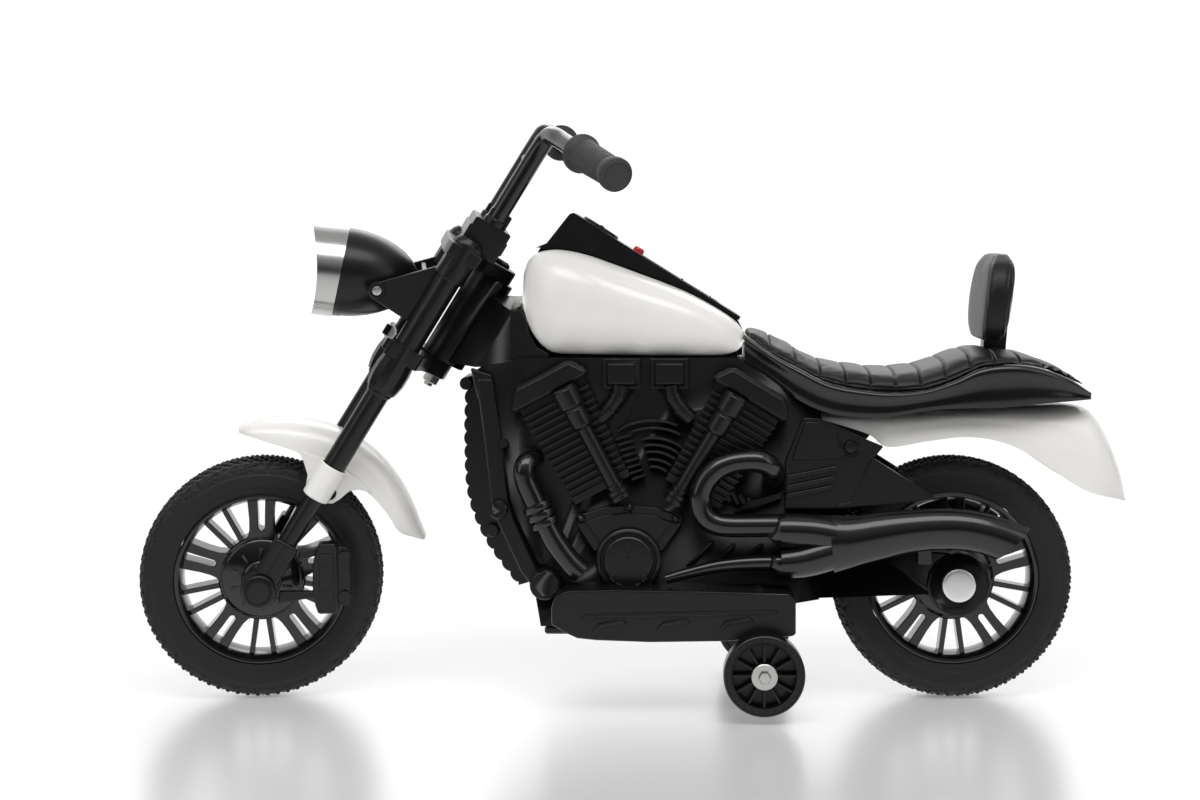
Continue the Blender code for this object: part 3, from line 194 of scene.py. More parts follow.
# Where the sidewall, the ring above it and the shoulder end, on a run of 0 to 1.
SIDEWALL_END = 0.3
RING_END = 0.36
SHOULDER_END = 0.62
NUBS_ROUND = 74
NUB_ROWS = (-20.0, -12.0, -4.0, 4.0, 12.0, 20.0)
NUB_RADIUS = 3.0
NUB_STRETCH = Matrix.Diagonal((0.92, 1.15, 0.95, 1.0))
# How far the nubs' middles stand over the tread, and how it falls with the square of y.
NUB_LIFT = 0.7
TREAD_CROWN = 0.0052
SIPES_ROUND = 40
SIPE_DEPTH = 1.5
# Half a cut's width, as a share of the pitch from cut to cut.
SIPE_HALF = 0.10
FRONT_AXLE = Vector((-391.0, 0.0, 128.8))
REAR_AXLE = Vector((340.0, 0.0, 127.5))

steering_joint = [joint for joint in frame["joints"] if joint["name"] == "steering"][0]
head = Vector(steering_joint["pos_m"])
head_axis = Vector(steering_joint["axis"])
# At rest the bar is turned to the rider's left.
STEERED_LEFT = math.radians(9.0)
as_steered = (Matrix.Translation(head) @ Matrix.Rotation(STEERED_LEFT, 4, head_axis)
              @ Matrix.Translation(-head))


def only(piece):
    """Selects one object and makes it the active one."""
    bpy.ops.object.select_all(action="DESELECT")
    bpy.context.view_layer.objects.active = piece
    piece.select_set(True)
    return piece


def joined(pieces):
    """Joins several objects into the first of them."""
    only(pieces[0])
    for other in pieces[1:]:
        other.select_set(True)
    if len(pieces) > 1:
        bpy.ops.object.join()
    return bpy.context.object


def finished(piece, name, material, body, replaces=(), steered=False, crease=34.0):
    """Applies the modifiers, puts the piece in metres where the part has it, and hangs it on its body."""
    only(piece)
    for modifier in list(piece.modifiers):
        bpy.ops.object.modifier_apply(modifier=modifier.name)
    turned_by = as_steered if steered else Matrix.Identity(4)
    piece.matrix_world = turned_by @ Matrix.Scale(MM, 4) @ piece.matrix_world
    bpy.ops.object.transform_apply(location=True, rotation=True, scale=True)
    bpy.ops.object.shade_smooth_by_angle(angle=math.radians(crease))
    flatter = piece.modifiers.new("flat faces stay flat", "WEIGHTED_NORMAL")
    flatter.keep_sharp = True
    flatter.weight = 80
    bpy.ops.object.modifier_apply(modifier=flatter.name)
    piece.data.materials.clear()
    piece.data.materials.append(material)
    piece.name = name
    piece.data.name = name
    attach(piece, body)
    if replaces:
        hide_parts(*replaces)
    return piece


def outwards(piece, merge=0.01):
    """Merges doubled points and turns every face outwards."""
    only(piece)
    bpy.ops.object.mode_set(mode="EDIT")
    bpy.ops.mesh.select_all(action="SELECT")
    bpy.ops.mesh.remove_doubles(threshold=merge)
    bpy.ops.mesh.normals_make_consistent(inside=False)
    bpy.ops.object.mode_set(mode="OBJECT")
    return piece


def wrapped(columns, rows, place):
    """A grid whose points are moved to place(u, v), with u and v from 0 to 1."""
    bpy.ops.mesh.primitive_grid_add(x_subdivisions=columns, y_subdivisions=rows, size=2.0)
    sheet = bpy.context.object
    for vertex in sheet.data.vertices:
        vertex.co = place((vertex.co.x + 1) / 2, (vertex.co.y + 1) / 2)
    return sheet


def wandering(material, drift_mm, hex_colour, hex_worn, low, high):
    """Object coordinates, two close tones and a roughness from low to high that wander together."""
    place = node(material, "ShaderNodeTexCoord")
    drift = node(material, "ShaderNodeTexNoise", [("Vector", place, "Object")],
                 Scale=1.0 / (drift_mm * MM), Detail=3.0)
    tone = node(material, "ShaderNodeMix", [("Factor", drift, 0)], data_type="RGBA")
    tone.inputs[6].default_value = linear(hex_colour)
    tone.inputs[7].default_value = linear(hex_worn)
    rough = node(material, "ShaderNodeMapRange", [("Value", drift, 0)], To_Min=low, To_Max=high)
    return place, tone, rough


# The tones of moulded plastic drift over about five centimetres.
MOULDING_DRIFT = 55.56


def moulded(name, hex_colour, hex_worn, roughness, spread, grain_mm, grain_depth, **shader_values):
    """A moulded surface: two close tones, a roughness that wanders, and a fine grain."""
    material = new_material(name)
    place, tone, rough = wandering(material, MOULDING_DRIFT, hex_colour, hex_worn,
                                   roughness - spread, roughness + spread)
    grain = node(material, "ShaderNodeTexNoise", [("Vector", place, "Object")],
                 Scale=1.0 / (grain_mm * MM), Detail=2.0)
    bump = node(material, "ShaderNodeBump", [("Height", grain, 0)], Strength=1.0, Distance=grain_depth * MM)
    surface = node(material, "ShaderNodeBsdfPrincipled",
                   [("Base Color", tone, 2), ("Roughness", rough, 0), ("Normal", bump, 0)], **shader_values)
    node(material, "ShaderNodeOutputMaterial", [("Surface", surface, 0)])
    return material


# Foam rubber: charcoal, dull, with open pores a third of a millimetre across that are
# drawn at twice that to show.
foam_rubber = moulded("eva_foam_rubber", "141415", "1C1C1D", 0.6, 0.08, 0.7, 0.05, IOR=1.45,
                      Specular_IOR_Level=0.35)


def sipe_depth(angle, across):
    """How deep the wavy cuts are at a place on the shoulder. across is 0 at the side, 1 at the tread."""
    if not 0.03 < across < 0.97:
        return 0.0
    turns = angle / (2 * math.pi) * SIPES_ROUND
    long_cut = math.floor(turns + 0.5) % 2 == 0
    reach = 1.0 if long_cut else 0.55
    if across > 0.98 * reach + 0.05:
        return 0.0
    lean = 0.55 * math.sin(across / reach * math.pi * 1.4 + 0.4) + 0.35 * across
    offset = turns + lean - math.floor(turns + lean + 0.5)
    return SIPE_DEPTH * max(0.0, 1 - (offset / SIPE_HALF) ** 2) * min(1.0, 6 * across, 6 * (1.03 - across))


def tyre_point(u, v):
    """A place on the tyre's skin: u goes round it, v from the left bore over the tread to the right."""
    angle = 2 * math.pi * u
    side = -1 if v < 0.5 else 1
    s = 1 - abs(2 * v - 1)
    if s < SIDEWALL_END:
        run = s / SIDEWALL_END
        radius = TYRE_BORE + (SHOULDER_RADIUS - 1.2 - TYRE_BORE) * run
        y = BEAD_HALF + 5.2 * math.sin(run * math.pi * 0.55)
        y -= 0.7 * math.exp(-((run - 0.3) / 0.05) ** 2)
    elif s < RING_END:
        run = (s - SIDEWALL_END) / (RING_END - SIDEWALL_END)
        radius = SHOULDER_RADIUS - 1.2 + 1.8 * run
        y = 27.7 - 1.3 * math.sin(run * math.pi / 2)
    else:
        run = (s - RING_END) / (1 - RING_END)
        bend = min(run / SHOULDER_END, 1.0)
        lean = bend * math.pi / 2
        radius = SHOULDER_RADIUS + 0.6 + (TREAD_BASE - SHOULDER_RADIUS - 0.6) * math.sin(lean) ** 0.9
        y = TREAD_HALF + (SHOULDER_HALF - TREAD_HALF) * math.cos(lean)
        if run > SHOULDER_END:
            y = TREAD_HALF * (1 - (run - SHOULDER_END) / (1 - SHOULDER_END))
        cut = sipe_depth(angle * side + (0.04 if side > 0 else 0.0), bend)
        radius -= cut * math.sin(lean)
        y -= cut * math.cos(lean)
    return Vector((radius * math.cos(angle), side * y, radius * math.sin(angle)))


def twin(piece, place):
    """A copy of a piece with its own mesh, at a place."""
    copy = piece.copy()
    copy.data = piece.data.copy()
    bpy.context.collection.objects.link(copy)
    copy.matrix_world = place
    return copy


def tyre(name, axle, body, steered):
    """One tyre with its nubs, modelled on its own axle and then moved there."""
    columns = SIPES_ROUND * 14
    skin = wrapped(columns, 84, tyre_point)
    only(skin)
    bpy.ops.object.mode_set(mode="EDIT")
    bpy.ops.mesh.select_all(action="SELECT")
    bpy.ops.mesh.remove_doubles(threshold=0.01)
    bpy.ops.object.mode_set(mode="OBJECT")
    bore = lathe([(TYRE_BORE, -22.6), (TYRE_BORE, 22.6)], (0, 0, 0), steps=columns, closed=False)
    parts = [outwards(joined([skin, bore]), 0.05)]
    bpy.ops.mesh.primitive_uv_sphere_add(segments=10, ring_count=6, radius=NUB_RADIUS)
    nub = bpy.context.object
    for row, y in enumerate(NUB_ROWS):
        height = TREAD_BASE + NUB_LIFT - TREAD_CROWN * y * y
        for count in range(NUBS_ROUND):
            angle = 2 * math.pi * (count + 0.5 * (row % 2)) / NUBS_ROUND
            place = Matrix.Rotation(-angle, 4, "Y") @ Matrix.Translation((height, y, 0))
            parts.append(twin(nub, place @ NUB_STRETCH))
    bpy.data.objects.remove(nub, do_unlink=True)
    whole = joined(parts)
    whole.location = axle
    return finished(whole, f"{name}_skin", foam_rubber, body, [name], steered, 50.0)


def lathe(profile, centre, axis=(0, 1, 0), steps=64, closed=True, loop=False):
    """A turned shape: a circle is added and extruded ring by ring through (radius, distance) points."""
    first_radius, first_distance = profile[0]
    kind = "NGON" if closed and not loop else "NOTHING"
    bpy.ops.mesh.primitive_circle_add(vertices=steps, radius=first_radius, fill_type=kind)
    shape = bpy.context.object
    bpy.ops.object.mode_set(mode="EDIT")
    bpy.ops.mesh.select_all(action="SELECT")
    bpy.ops.transform.translate(value=(0, 0, first_distance))
    rings = list(profile) + ([profile[0]] if loop else [])
    for (radius, distance), (next_radius, next_distance) in zip(rings, rings[1:]):
        bpy.ops.mesh.extrude_region_move(
            TRANSFORM_OT_translate={"value": (0, 0, next_distance - distance)})
        growth = next_radius / radius
        bpy.ops.transform.resize(value=(growth, growth, 1), center_override=(0, 0, next_distance))
    bpy.ops.object.mode_set(mode="OBJECT")
    if closed or loop:
        outwards(shape)
    shape.matrix_world = (Matrix.Translation(Vector(centre))
                          @ Vector(axis).to_track_quat("Z", "X").to_matrix().to_4x4())
    bpy.ops.object.transform_apply(location=True, rotation=True, scale=True)
    return shape


tyre("front_tyre", FRONT_AXLE, "front_wheel", True)
tyre("rear_tyre", REAR_AXLE, "rear_wheel", False)


# Rims
# Each rim is one moulding in black gloss plastic: a deep barrel, five forked spokes that
# spring from a raised web, ten thin spokes between them, and a conical hub disc.

RIM_OUTER = 90.5
SPOKE_HALF = 13.0
WEB_RADIUS = 45.4


def softened(piece, width, segments=2, limit=30.0):
    """Rounds the sharp edges of a piece."""
    only(piece)
    rounding = piece.modifiers.new("rounded edges", "BEVEL")
    rounding.width = width
    rounding.segments = segments
    rounding.limit_method = "ANGLE"
    rounding.angle_limit = math.radians(limit)
    bpy.ops.object.modifier_apply(modifier=rounding.name)
    return piece


def slab(outline, y_from, y_to, bevel=1.0, segments=3):
    """A plate from an outline of (x, z) points, pushed from one y to another, with rounded edges."""
    bpy.ops.mesh.primitive_circle_add(vertices=len(outline), radius=1.0, fill_type="NGON")
    plate = bpy.context.object
    for vertex, (x, z) in zip(plate.data.vertices, outline):
        vertex.co = (x, y_from, z)
    bpy.ops.object.mode_set(mode="EDIT")
    bpy.ops.mesh.select_all(action="SELECT")
    bpy.ops.mesh.extrude_region_move(TRANSFORM_OT_translate={"value": (0, y_to - y_from, 0)})
    bpy.ops.mesh.select_all(action="SELECT")
    bpy.ops.mesh.normals_make_consistent(inside=False)
    bpy.ops.object.mode_set(mode="OBJECT")
    return softened(plate, bevel, segments) if bevel else plate


def around(pieces, count, first=0.0):
    """Repeats pieces evenly round a cross axis through the origin, from an angle in degrees."""
    made = []
    for index in range(count):
        turn = Matrix.Rotation(-math.radians(first + 360.0 * index / count), 4, "Y")
        for piece in pieces:
            made.append(twin(piece, turn @ piece.matrix_world))
    for piece in pieces:
        bpy.data.objects.remove(piece, do_unlink=True)
    return made


# Glossy black plastic: near black, a mirror finish that moulding leaves slightly uneven.
gloss_black = moulded("gloss_black_plastic", "0B0B0C", "101011", 0.18, 0.04, 6.0, 0.02, IOR=1.5)


def polar(radius, degrees):
    """A point at a radius and an angle, as a pair."""
    angle = math.radians(degrees)
    return (radius * math.cos(angle), radius * math.sin(angle))


def rim(name, axle, body, hub_left, hub_right, steered):
    """One rim, made on its own axle with a spoke upwards."""
    barrel = lathe([(RIM_OUTER, -21.5), (RIM_OUTER, 21.5), (RIM_OUTER - 2.2, 22.4), (RIM_OUTER - 4.5, 21.6),
                    (RIM_OUTER - 6.5, 17), (RIM_OUTER - 8.5, 12), (RIM_OUTER - 9, 0), (RIM_OUTER - 8.5, -12),
                    (RIM_OUTER - 6.5, -17), (RIM_OUTER - 4.5, -21.6), (RIM_OUTER - 2.2, -22.4)],
                   (0, 0, 0), steps=128, loop=True)
    fork = [polar(40, 62), polar(43.5, 66), polar(47, 72.5), polar(53, 76.0), polar(64, 78.4),
            polar(85, 80.0), polar(85, 87.3), polar(66, 87.0), polar(52.5, 86.4), polar(50.6, 88.2),
            (0.0, 50.2)]
    fork += [(-x, z) for x, z in reversed(fork[:-1])]
    fork_piece = slab(fork, -SPOKE_HALF, SPOKE_HALF, 1.1)
    web_profile = [(34, -SPOKE_HALF), (44, -SPOKE_HALF), (WEB_RADIUS, -SPOKE_HALF + 1.4),
                   (WEB_RADIUS, SPOKE_HALF - 1.4), (44, SPOKE_HALF), (34, SPOKE_HALF)]
    web = lathe(web_profile, (0, 0, 0), steps=96, loop=True)
    thin = []
    for lean in (-28.0, 28.0):
        edge = [polar(40, 90 + lean - 4.2), polar(85, 90 + lean - 1.8), polar(85, 90 + lean + 1.8),
                polar(40, 90 + lean + 4.2)]
        thin.append(slab(edge, -11.0, 11.0, 0.9))
    hub_profile = [(6.5, -hub_left), (14.5, -hub_left), (16, -hub_left + 1.2), (16.6, -26.5), (19.4, -25.4),
                   (20.6, -24.0), (21.2, -22.6), (30, -20.4), (39.2, -17.4), (41, -15.8), (41.4, -12),
                   (41.4, 12), (41, 15.8), (39.2, 17.4), (30, 18.6), (21, 19.0),
                   (16.4, min(hub_right, 20) - 0.4), (15.6, hub_right), (6.5, hub_right)]
    hub = lathe(hub_profile, (0, 0, 0), steps=96, loop=True)
    slot = slab([(22.8, -1.6), (33.0, -2.0), (33.0, 2.0), (22.8, 1.6)], -23.2, -18.6, 0.7)
    slots = around([slot], 10, first=18.0)
    forks = around([fork_piece] + thin, 5)
    whole = joined([hub, barrel, web] + slots + forks)
    whole.location = axle
    return finished(whole, f"{name}_moulding", gloss_black, body, [name], steered)


rim("front_rim", FRONT_AXLE, "front_wheel", 41.0, 41.0, True)
rim("rear_rim", REAR_AXLE, "rear_wheel", 40.5, 19.4, False)


# Tank
# Two crowned side shells in glossy white plastic, moulded 2.6 mm thick, clipped to the black
# console between them.

SIDES = (("left", -1), ("right", 1))
TANK_FRONT = -112.0
TANK_REAR = 119.0
TANK_TOP = [(-112, 448), (-108, 460), (-101, 468.5), (-87, 473), (-69, 473), (-45, 468), (-16, 458),
            (14, 447), (38, 438), (64, 427), (93, 411), (109, 400), (116, 392), (119, 386)]
TANK_LOW = [(-112, 420), (-107, 400), (-100, 385), (-91, 374), (-79, 367), (-45, 365), (4, 364),
            (64, 363.5), (97, 364.5), (110, 368), (116, 373), (119, 379)]
TANK_HALF = [(-112, 56), (-80, 69), (-45, 73.5), (0, 75), (50, 72), (85, 66), (119, 56)]
TANK_TOP_Y = 31.0
TANK_LOW_Y = 50.0
WALL = 2.6


def level(rows, x):
    """Reads a smooth curve through the (x, value) rows of a short table."""
    x = min(max(x, rows[0][0]), rows[-1][0])
    index = 0
    while index < len(rows) - 2 and x > rows[index + 1][0]:
        index += 1
    (x1, y1), (x2, y2) = rows[index], rows[index + 1]
    before = rows[max(index - 1, 0)]
    after = rows[min(index + 2, len(rows) - 1)]
    span = x2 - x1
    slope1 = (y2 - before[1]) / (x2 - before[0]) * span
    slope2 = (after[1] - y1) / (after[0] - x1) * span
    t = (x - x1) / span
    return ((2 * t ** 3 - 3 * t ** 2 + 1) * y1 + (t ** 3 - 2 * t ** 2 + t) * slope1
            + (3 * t ** 2 - 2 * t ** 3) * y2 + (t ** 3 - t ** 2) * slope2)


def eased(t):
    """0 to 1 with its steps crowded at both ends."""
    return 0.5 - 0.5 * math.cos(math.pi * t)


WALL_ROUNDING = 0.7


def walled(sheet, thickness):
    """Gives an open sheet a wall on its inner side and rounds the wall's edges."""
    only(sheet)
    wall = sheet.modifiers.new("wall", "SOLIDIFY")
    wall.thickness = thickness
    wall.offset = -1.0
    wall.use_even_offset = True
    bpy.ops.object.modifier_apply(modifier=wall.name)
    return softened(sheet, WALL_ROUNDING, 2, 50.0)


def facing(sheet, direction):
    """Turns an open sheet's faces over if most of them look away from a direction."""
    normal = Vector((0, 0, 0))
    for face in sheet.data.polygons:
        normal += face.normal * face.area
    if normal.dot(Vector(direction)) < 0:
        only(sheet)
        bpy.ops.object.mode_set(mode="EDIT")
        bpy.ops.mesh.select_all(action="SELECT")
        bpy.ops.mesh.flip_normals()
        bpy.ops.object.mode_set(mode="OBJECT")
    return sheet


def tank_point(side, u, v):
    """A place on the tank's side: u from front to rear, v from the top edge down."""
    x = TANK_FRONT + (TANK_REAR - TANK_FRONT) * eased(u)
    top = level(TANK_TOP, x)
    low = level(TANK_LOW, x)
    down = eased(v) * 0.6 + v * 0.4
    z = top + (low - top) * down
    edge = TANK_TOP_Y + (TANK_LOW_Y - TANK_TOP_Y) * down ** 1.5
    along = abs(2 * eased(u) - 1)
    across = abs(2 * down - 1)
    swell = max(1 - along ** 6, 0.0) ** 0.5 * max(1 - across ** 2.6, 0.0) ** 0.6
    y = edge + (level(TANK_HALF, x) - edge) * swell
    return Vector((x, side * y, z))


# Glossy white plastic: a warm white with a clear skin.
gloss_white = moulded("gloss_white_plastic", "E0DFDC", "E6E5E2", 0.19, 0.04, 8.0, 0.03, IOR=1.5)

for label, side in SIDES:
    shell = facing(wrapped(110, 56, lambda u, v: tank_point(side, u, v)), (0, side, 0))
    finished(walled(shell, WALL), f"tank_shell_{label}", gloss_white, "chassis",
             [f"tank_panel_{label}"])


# Rear fender
# One blade in the same white plastic, wide under the seat and swept down over the wheel,
# with a soft fold along each flank where the wheel arch is drawn out.

REAR_STATIONS = [(200, 303, 200, 297, 52), (234, 303, 246, 283, 56), (270, 304, 268, 269.5, 58),
                 (310, 306, 311, 275.5, 58), (350, 308, 348, 279.5, 58), (395, 309, 381, 275.5, 58),
                 (432, 309, 410, 264, 58), (462, 309, 438, 246, 57), (484, 304, 462, 230, 55),
                 (498, 285, 480, 221, 52), (508, 264, 494, 217, 47), (516, 240, 506, 214, 40),
                 (522, 212, 519, 210, 30)]


def station(rows, run):
    """The values of a list of stations at a run from 0 to 1, read smoothly."""
    place = run * (len(rows) - 1)
    return [level(list(enumerate(row)), place) for row in zip(*rows)]


def rear_point(u, v):
    """A place on the rear blade: u from its front end to its tip, v from flank to flank."""
    crown_x, crown_z, skirt_x, skirt_z, half = station(REAR_STATIONS, u)
    lean = math.pi * (v - 0.5)
    wide = math.copysign(abs(math.sin(lean)) ** 0.6, lean)
    rise = max(math.cos(lean), 0.0) ** 0.6
    fold = math.exp(-((rise - 0.52) / 0.16) ** 2) * 1.6 * math.sin(math.pi * min(u * 1.15, 1.0))
    y = wide * half - math.copysign(fold, lean)
    return Vector((skirt_x + (crown_x - skirt_x) * rise, y, skirt_z + (crown_z - skirt_z) * rise))


blade = facing(wrapped(130, 64, rear_point), (0, 0, 1))
finished(walled(blade, WALL), "rear_fender_blade", gloss_white, "chassis",
         ["rear_fender"])


# Seat tray
# A glossy black moulding under the pad: its rim is rolled out round the pad's edge, and
# its flanks fall in below the roll to the fender.

SEAT_LOW = [(119.5, 357), (148, 339), (176, 318), (205, 306), (235, 302), (270, 303), (305, 309),
            (335, 311), (387, 312), (420, 315), (455, 317), (480, 318)]
SEAT_EDGE = [(119.5, 386), (148, 366), (176, 351), (205, 337), (235, 331), (270, 328), (305, 331),
             (335, 341), (360, 352), (387, 356), (420, 353), (455, 341), (480, 326)]
SEAT_HALF = [(119.5, 49), (148, 60), (176, 68), (205, 74), (235, 78), (270, 80), (305, 81), (335, 81),
             (360, 80), (387, 78), (420, 73), (455, 64), (480, 50)]
SEAT_TOP = [(119.5, 397), (141, 390), (153, 381), (168, 375), (180, 366), (206, 357), (233, 353),
            (258, 350), (285, 351), (310, 355), (334, 364), (357, 371), (390, 371), (414, 365),
            (442, 355), (473, 337), (480, 330)]
TRAY_FRONT = 119.5
TRAY_REAR = 480.0
TRAY_RIM = 11.0
# The flank's share of the way round, and its rows of (run, outwards, share of the height).
FLANK_SHARE = 0.72
TRAY_PROFILE = [(0.0, 0.0, 0.0), (0.12, 0.6, 0.16), (0.3, 0.2, 0.45), (0.42, 0.9, 0.62), (0.52, 2.2, 0.76),
                (0.62, 2.6, 0.88), (0.72, 1.2, 0.97), (0.8, -1.8, 1.02), (0.88, -5.5, 1.01),
                (1.0, -11.0, 0.94)]


def tray_point(u, v):
    """A place on the tray: u from front to rear, v from the left foot over the rim to the right."""
    x = TRAY_FRONT + (TRAY_REAR - TRAY_FRONT) * u
    low = level(SEAT_LOW, x)
    edge = level(SEAT_EDGE, x) - 1
    half = level(SEAT_HALF, x)
    side = -1 if v < 0.5 else 1
    reach = 1 - abs(2 * v - 1)
    if reach < FLANK_SHARE:
        run = reach / FLANK_SHARE
        out = level([(a, b) for a, b, c in TRAY_PROFILE], run)
        lift = level([(a, c) for a, b, c in TRAY_PROFILE], run)
        return Vector((x, side * (half + out), low + (edge - low) * lift))
    run = (reach - FLANK_SHARE) / (1 - FLANK_SHARE)
    return Vector((x, side * (half - TRAY_RIM) * (1 - run), low + (edge - low) * 0.94))


tray = facing(wrapped(150, 96, tray_point), (0, 0, 1))
nose = slab([(119.6, 357.5), (122.4, 357.5), (122.4, 384.5), (119.6, 384.5)], -48.5, 48.5, 0.6)
tail = slab([(477.0, 318.2), (479.9, 318.2), (479.9, 324.4), (477.0, 325.0)], -49.5, 49.5, 0.6)
finished(joined([walled(tray, 3.0), nose, tail]), "seat_tray", gloss_black, "chassis",
         ["seat_base"])


# Seat pad and backrest
# Foam under a sewn cover of soft imitation leather with fine pebbled grain. The pad is
# blown up by a cloth simulation, and its thirteen channels are pressed in afterwards.

SEAT_START = 120.5
SEAT_STOP = 478.0
CHANNELS = 13
# Each channel has a narrow stitched line in a wider dip: (depth, width) of each.
STITCH = (2.72, 1.2)
DIP = (0.8, 5.5)
# Sizes of the cover's patterns: the drift of its tones, its pebbles and its creases.
SEAT_DRIFT = 71.43
PEBBLE = 1.1
CREASE = 4.0


def pebbled(name):
    """Imitation leather: pebbles of a millimetre, a soft sheen, and tones that drift."""
    material = new_material(name)
    place, tone, rough = wandering(material, SEAT_DRIFT, "0B0B0C", "131314", 0.36, 0.5)
    pebble = node(material, "ShaderNodeTexVoronoi", [("Vector", place, "Object")],
                  Scale=1.0 / (PEBBLE * MM))
    crease = node(material, "ShaderNodeTexNoise", [("Vector", place, "Object")],
                  Scale=1.0 / (CREASE * MM), Detail=3.0)
    height = node(material, "ShaderNodeMath", [(0, pebble, "Distance"), (1, crease, 0)], operation="ADD")
    bump = node(material, "ShaderNodeBump", [("Height", height, 0)], Strength=0.9, Distance=0.09 * MM)
    surface = node(material, "ShaderNodeBsdfPrincipled",
                   [("Base Color", tone, 2), ("Roughness", rough, 0), ("Normal", bump, 0)],
                   IOR=1.45, Specular_IOR_Level=0.3, Sheen_Weight=0.02)
    node(material, "ShaderNodeOutputMaterial", [("Surface", surface, 0)])
    return material


leatherette = pebbled("black_leatherette")


def refined(piece):
    """Divides a skin's faces once and smooths it."""
    only(piece)
    smooth = piece.modifiers.new("smooth skin", "SUBSURF")
    smooth.levels = 1
    smooth.render_levels = 1
    bpy.ops.object.modifier_apply(modifier=smooth.name)
    return piece


def cushion(piece, voxel, pressure, cap):
    """Blows a closed form up like foam under a cover, with a cap on how far a point may move."""
    only(piece)
    remesh = piece.modifiers.new("even skin", "REMESH")
    remesh.mode = "VOXEL"
    remesh.voxel_size = voxel
    bpy.ops.object.modifier_apply(modifier=remesh.name)
    for vertex in piece.data.vertices:
        vertex.co *= MM
    before = [vertex.co.copy() for vertex in piece.data.vertices]
    cloth = piece.modifiers.new("cover", "CLOTH")
    cloth.settings.use_pressure = True
    cloth.settings.uniform_pressure_force = pressure
    cloth.settings.effector_weights.gravity = 0.0
    for number in range(1, 21):
        bpy.context.scene.frame_set(number)
    blown = piece.evaluated_get(bpy.context.evaluated_depsgraph_get())
    after = [vertex.co.copy() for vertex in blown.data.vertices]
    piece.modifiers.remove(cloth)
    bpy.context.scene.frame_set(1)
    for vertex, old, new in zip(piece.data.vertices, before, after):
        move = new - old
        if move.length > cap * MM:
            move *= cap * MM / move.length
        vertex.co = old + move
    for vertex in piece.data.vertices:
        vertex.co /= MM
    return refined(refined(piece))


def pad_point(u, v):
    """The cushion's closed skin before it is blown up: u along it, v round it."""
    x = SEAT_START + 2 + (SEAT_STOP - SEAT_START - 4) * u
    edge = level(SEAT_EDGE, x) + 0.2
    half = level(SEAT_HALF, x) - 4.0
    rise = max(level(SEAT_TOP, x) - edge - 2.5, 2.5)
    taper = min(1.0, (x - SEAT_START) / 9 + 0.3, (SEAT_STOP - x) / 18 + 0.25)
    angle = 2 * math.pi * v
    y = half * math.copysign(abs(math.cos(angle)) ** 0.75, math.cos(angle))
    lift = math.sin(angle)
    z = edge + (rise * taper * max(lift, 0.0) ** 0.62 if lift > 0 else 0.0)
    return Vector((x, y, z))


def closed_tube(columns, rows, place):
    """A closed form from a grid whose rows run round it, with its two ends filled."""
    sheet = wrapped(columns, rows, place)
    only(sheet)
    bpy.ops.object.mode_set(mode="EDIT")
    bpy.ops.mesh.select_all(action="SELECT")
    bpy.ops.mesh.remove_doubles(threshold=0.05)
    bpy.ops.mesh.select_non_manifold()
    bpy.ops.mesh.edge_face_add()
    bpy.ops.mesh.select_all(action="SELECT")
    bpy.ops.mesh.normals_make_consistent(inside=False)
    bpy.ops.object.mode_set(mode="OBJECT")
    return sheet


def channel_sink(x):
    """How far the sewn channels pull the seat's skin in at a place along it."""
    pitch = (SEAT_STOP - 24 - SEAT_START) / CHANNELS
    place = (x - SEAT_START) / pitch
    nearest = round(place)
    if not 1 <= nearest <= CHANNELS:
        return 0.0
    off = abs(place - nearest) * pitch
    return sum(depth * math.exp(-(off / width) ** 2) for depth, width in (STITCH, DIP))


pad = cushion(closed_tube(90, 60, pad_point), voxel=4.0, pressure=1.5, cap=1.6)
for vertex in pad.data.vertices:
    x, y, z = vertex.co
    x = min(max(x, SEAT_START + 0.4), SEAT_STOP - 0.4)
    edge = level(SEAT_EDGE, x)
    top = level(SEAT_TOP, x)
    half = level(SEAT_HALF, x) - 1.2
    rise = max(z - edge, 0.0)
    share = min(rise / max(top - edge, 4.0), 1.0)
    z = edge + min(rise, top - edge + 0.6) - channel_sink(x) * min(share * 2.2, 1.0)
    rim = math.exp(-((rise - 3.6) / 1.1) ** 2)
    y = math.copysign(min(abs(y), half) - 1.3 * rim, y)
    vertex.co = (x, y, max(z, edge - 0.6))
finished(pad, "seat_cushion", leatherette, "chassis", ["seat_pad"], crease=60.0)

BACK_LOW = 378.5
BACK_HEIGHT = 90.5
BACK_MIDDLE = 420.0
BACK_FRONT = [(378, 367.5), (392, 365.4), (415, 366.6), (440, 370), (458, 374), (469, 381)]
BACK_REAR = [(378, 390), (392, 394), (415, 398), (440, 401.5), (458, 402.5), (470, 397)]
BACK_HALF = [(378, 48), (392, 62), (415, 68), (440, 66), (458, 54), (469.5, 34)]


def back_point(u, v):
    """The backrest's closed skin: u upwards, v round its nearly square section."""
    z = BACK_LOW + BACK_HEIGHT * u
    half = level(BACK_HALF, z) - 1.2
    angle = 2 * math.pi * v
    y = half * math.copysign(abs(math.cos(angle)) ** 0.3, math.cos(angle))
    front = level(BACK_FRONT, z) + 0.6
    rear = level(BACK_REAR, z) - 0.6
    x = (front + rear) / 2 + (rear - front) / 2 * math.copysign(abs(math.sin(angle)) ** 0.3, math.sin(angle))
    return Vector((x, y, z))


def groove_round(piece, offset, depth, width):
    """Presses a seam line round the backrest at a distance behind its front face."""
    for vertex in piece.data.vertices:
        x, y, z = vertex.co
        near_rim = max(0.0, min(1.0, (abs(y) / level(BACK_HALF, z) - 0.72) / 0.15))
        top_rim = max(0.0, min(1.0, (z - 455) / 8))
        edge = level(BACK_FRONT, z) + offset
        press = depth * math.exp(-((x - edge) / width) ** 2) * max(near_rim, top_rim)
        inward = Vector((0, -y, BACK_MIDDLE - z)).normalized()
        vertex.co = Vector((x, y, z)) + inward * press


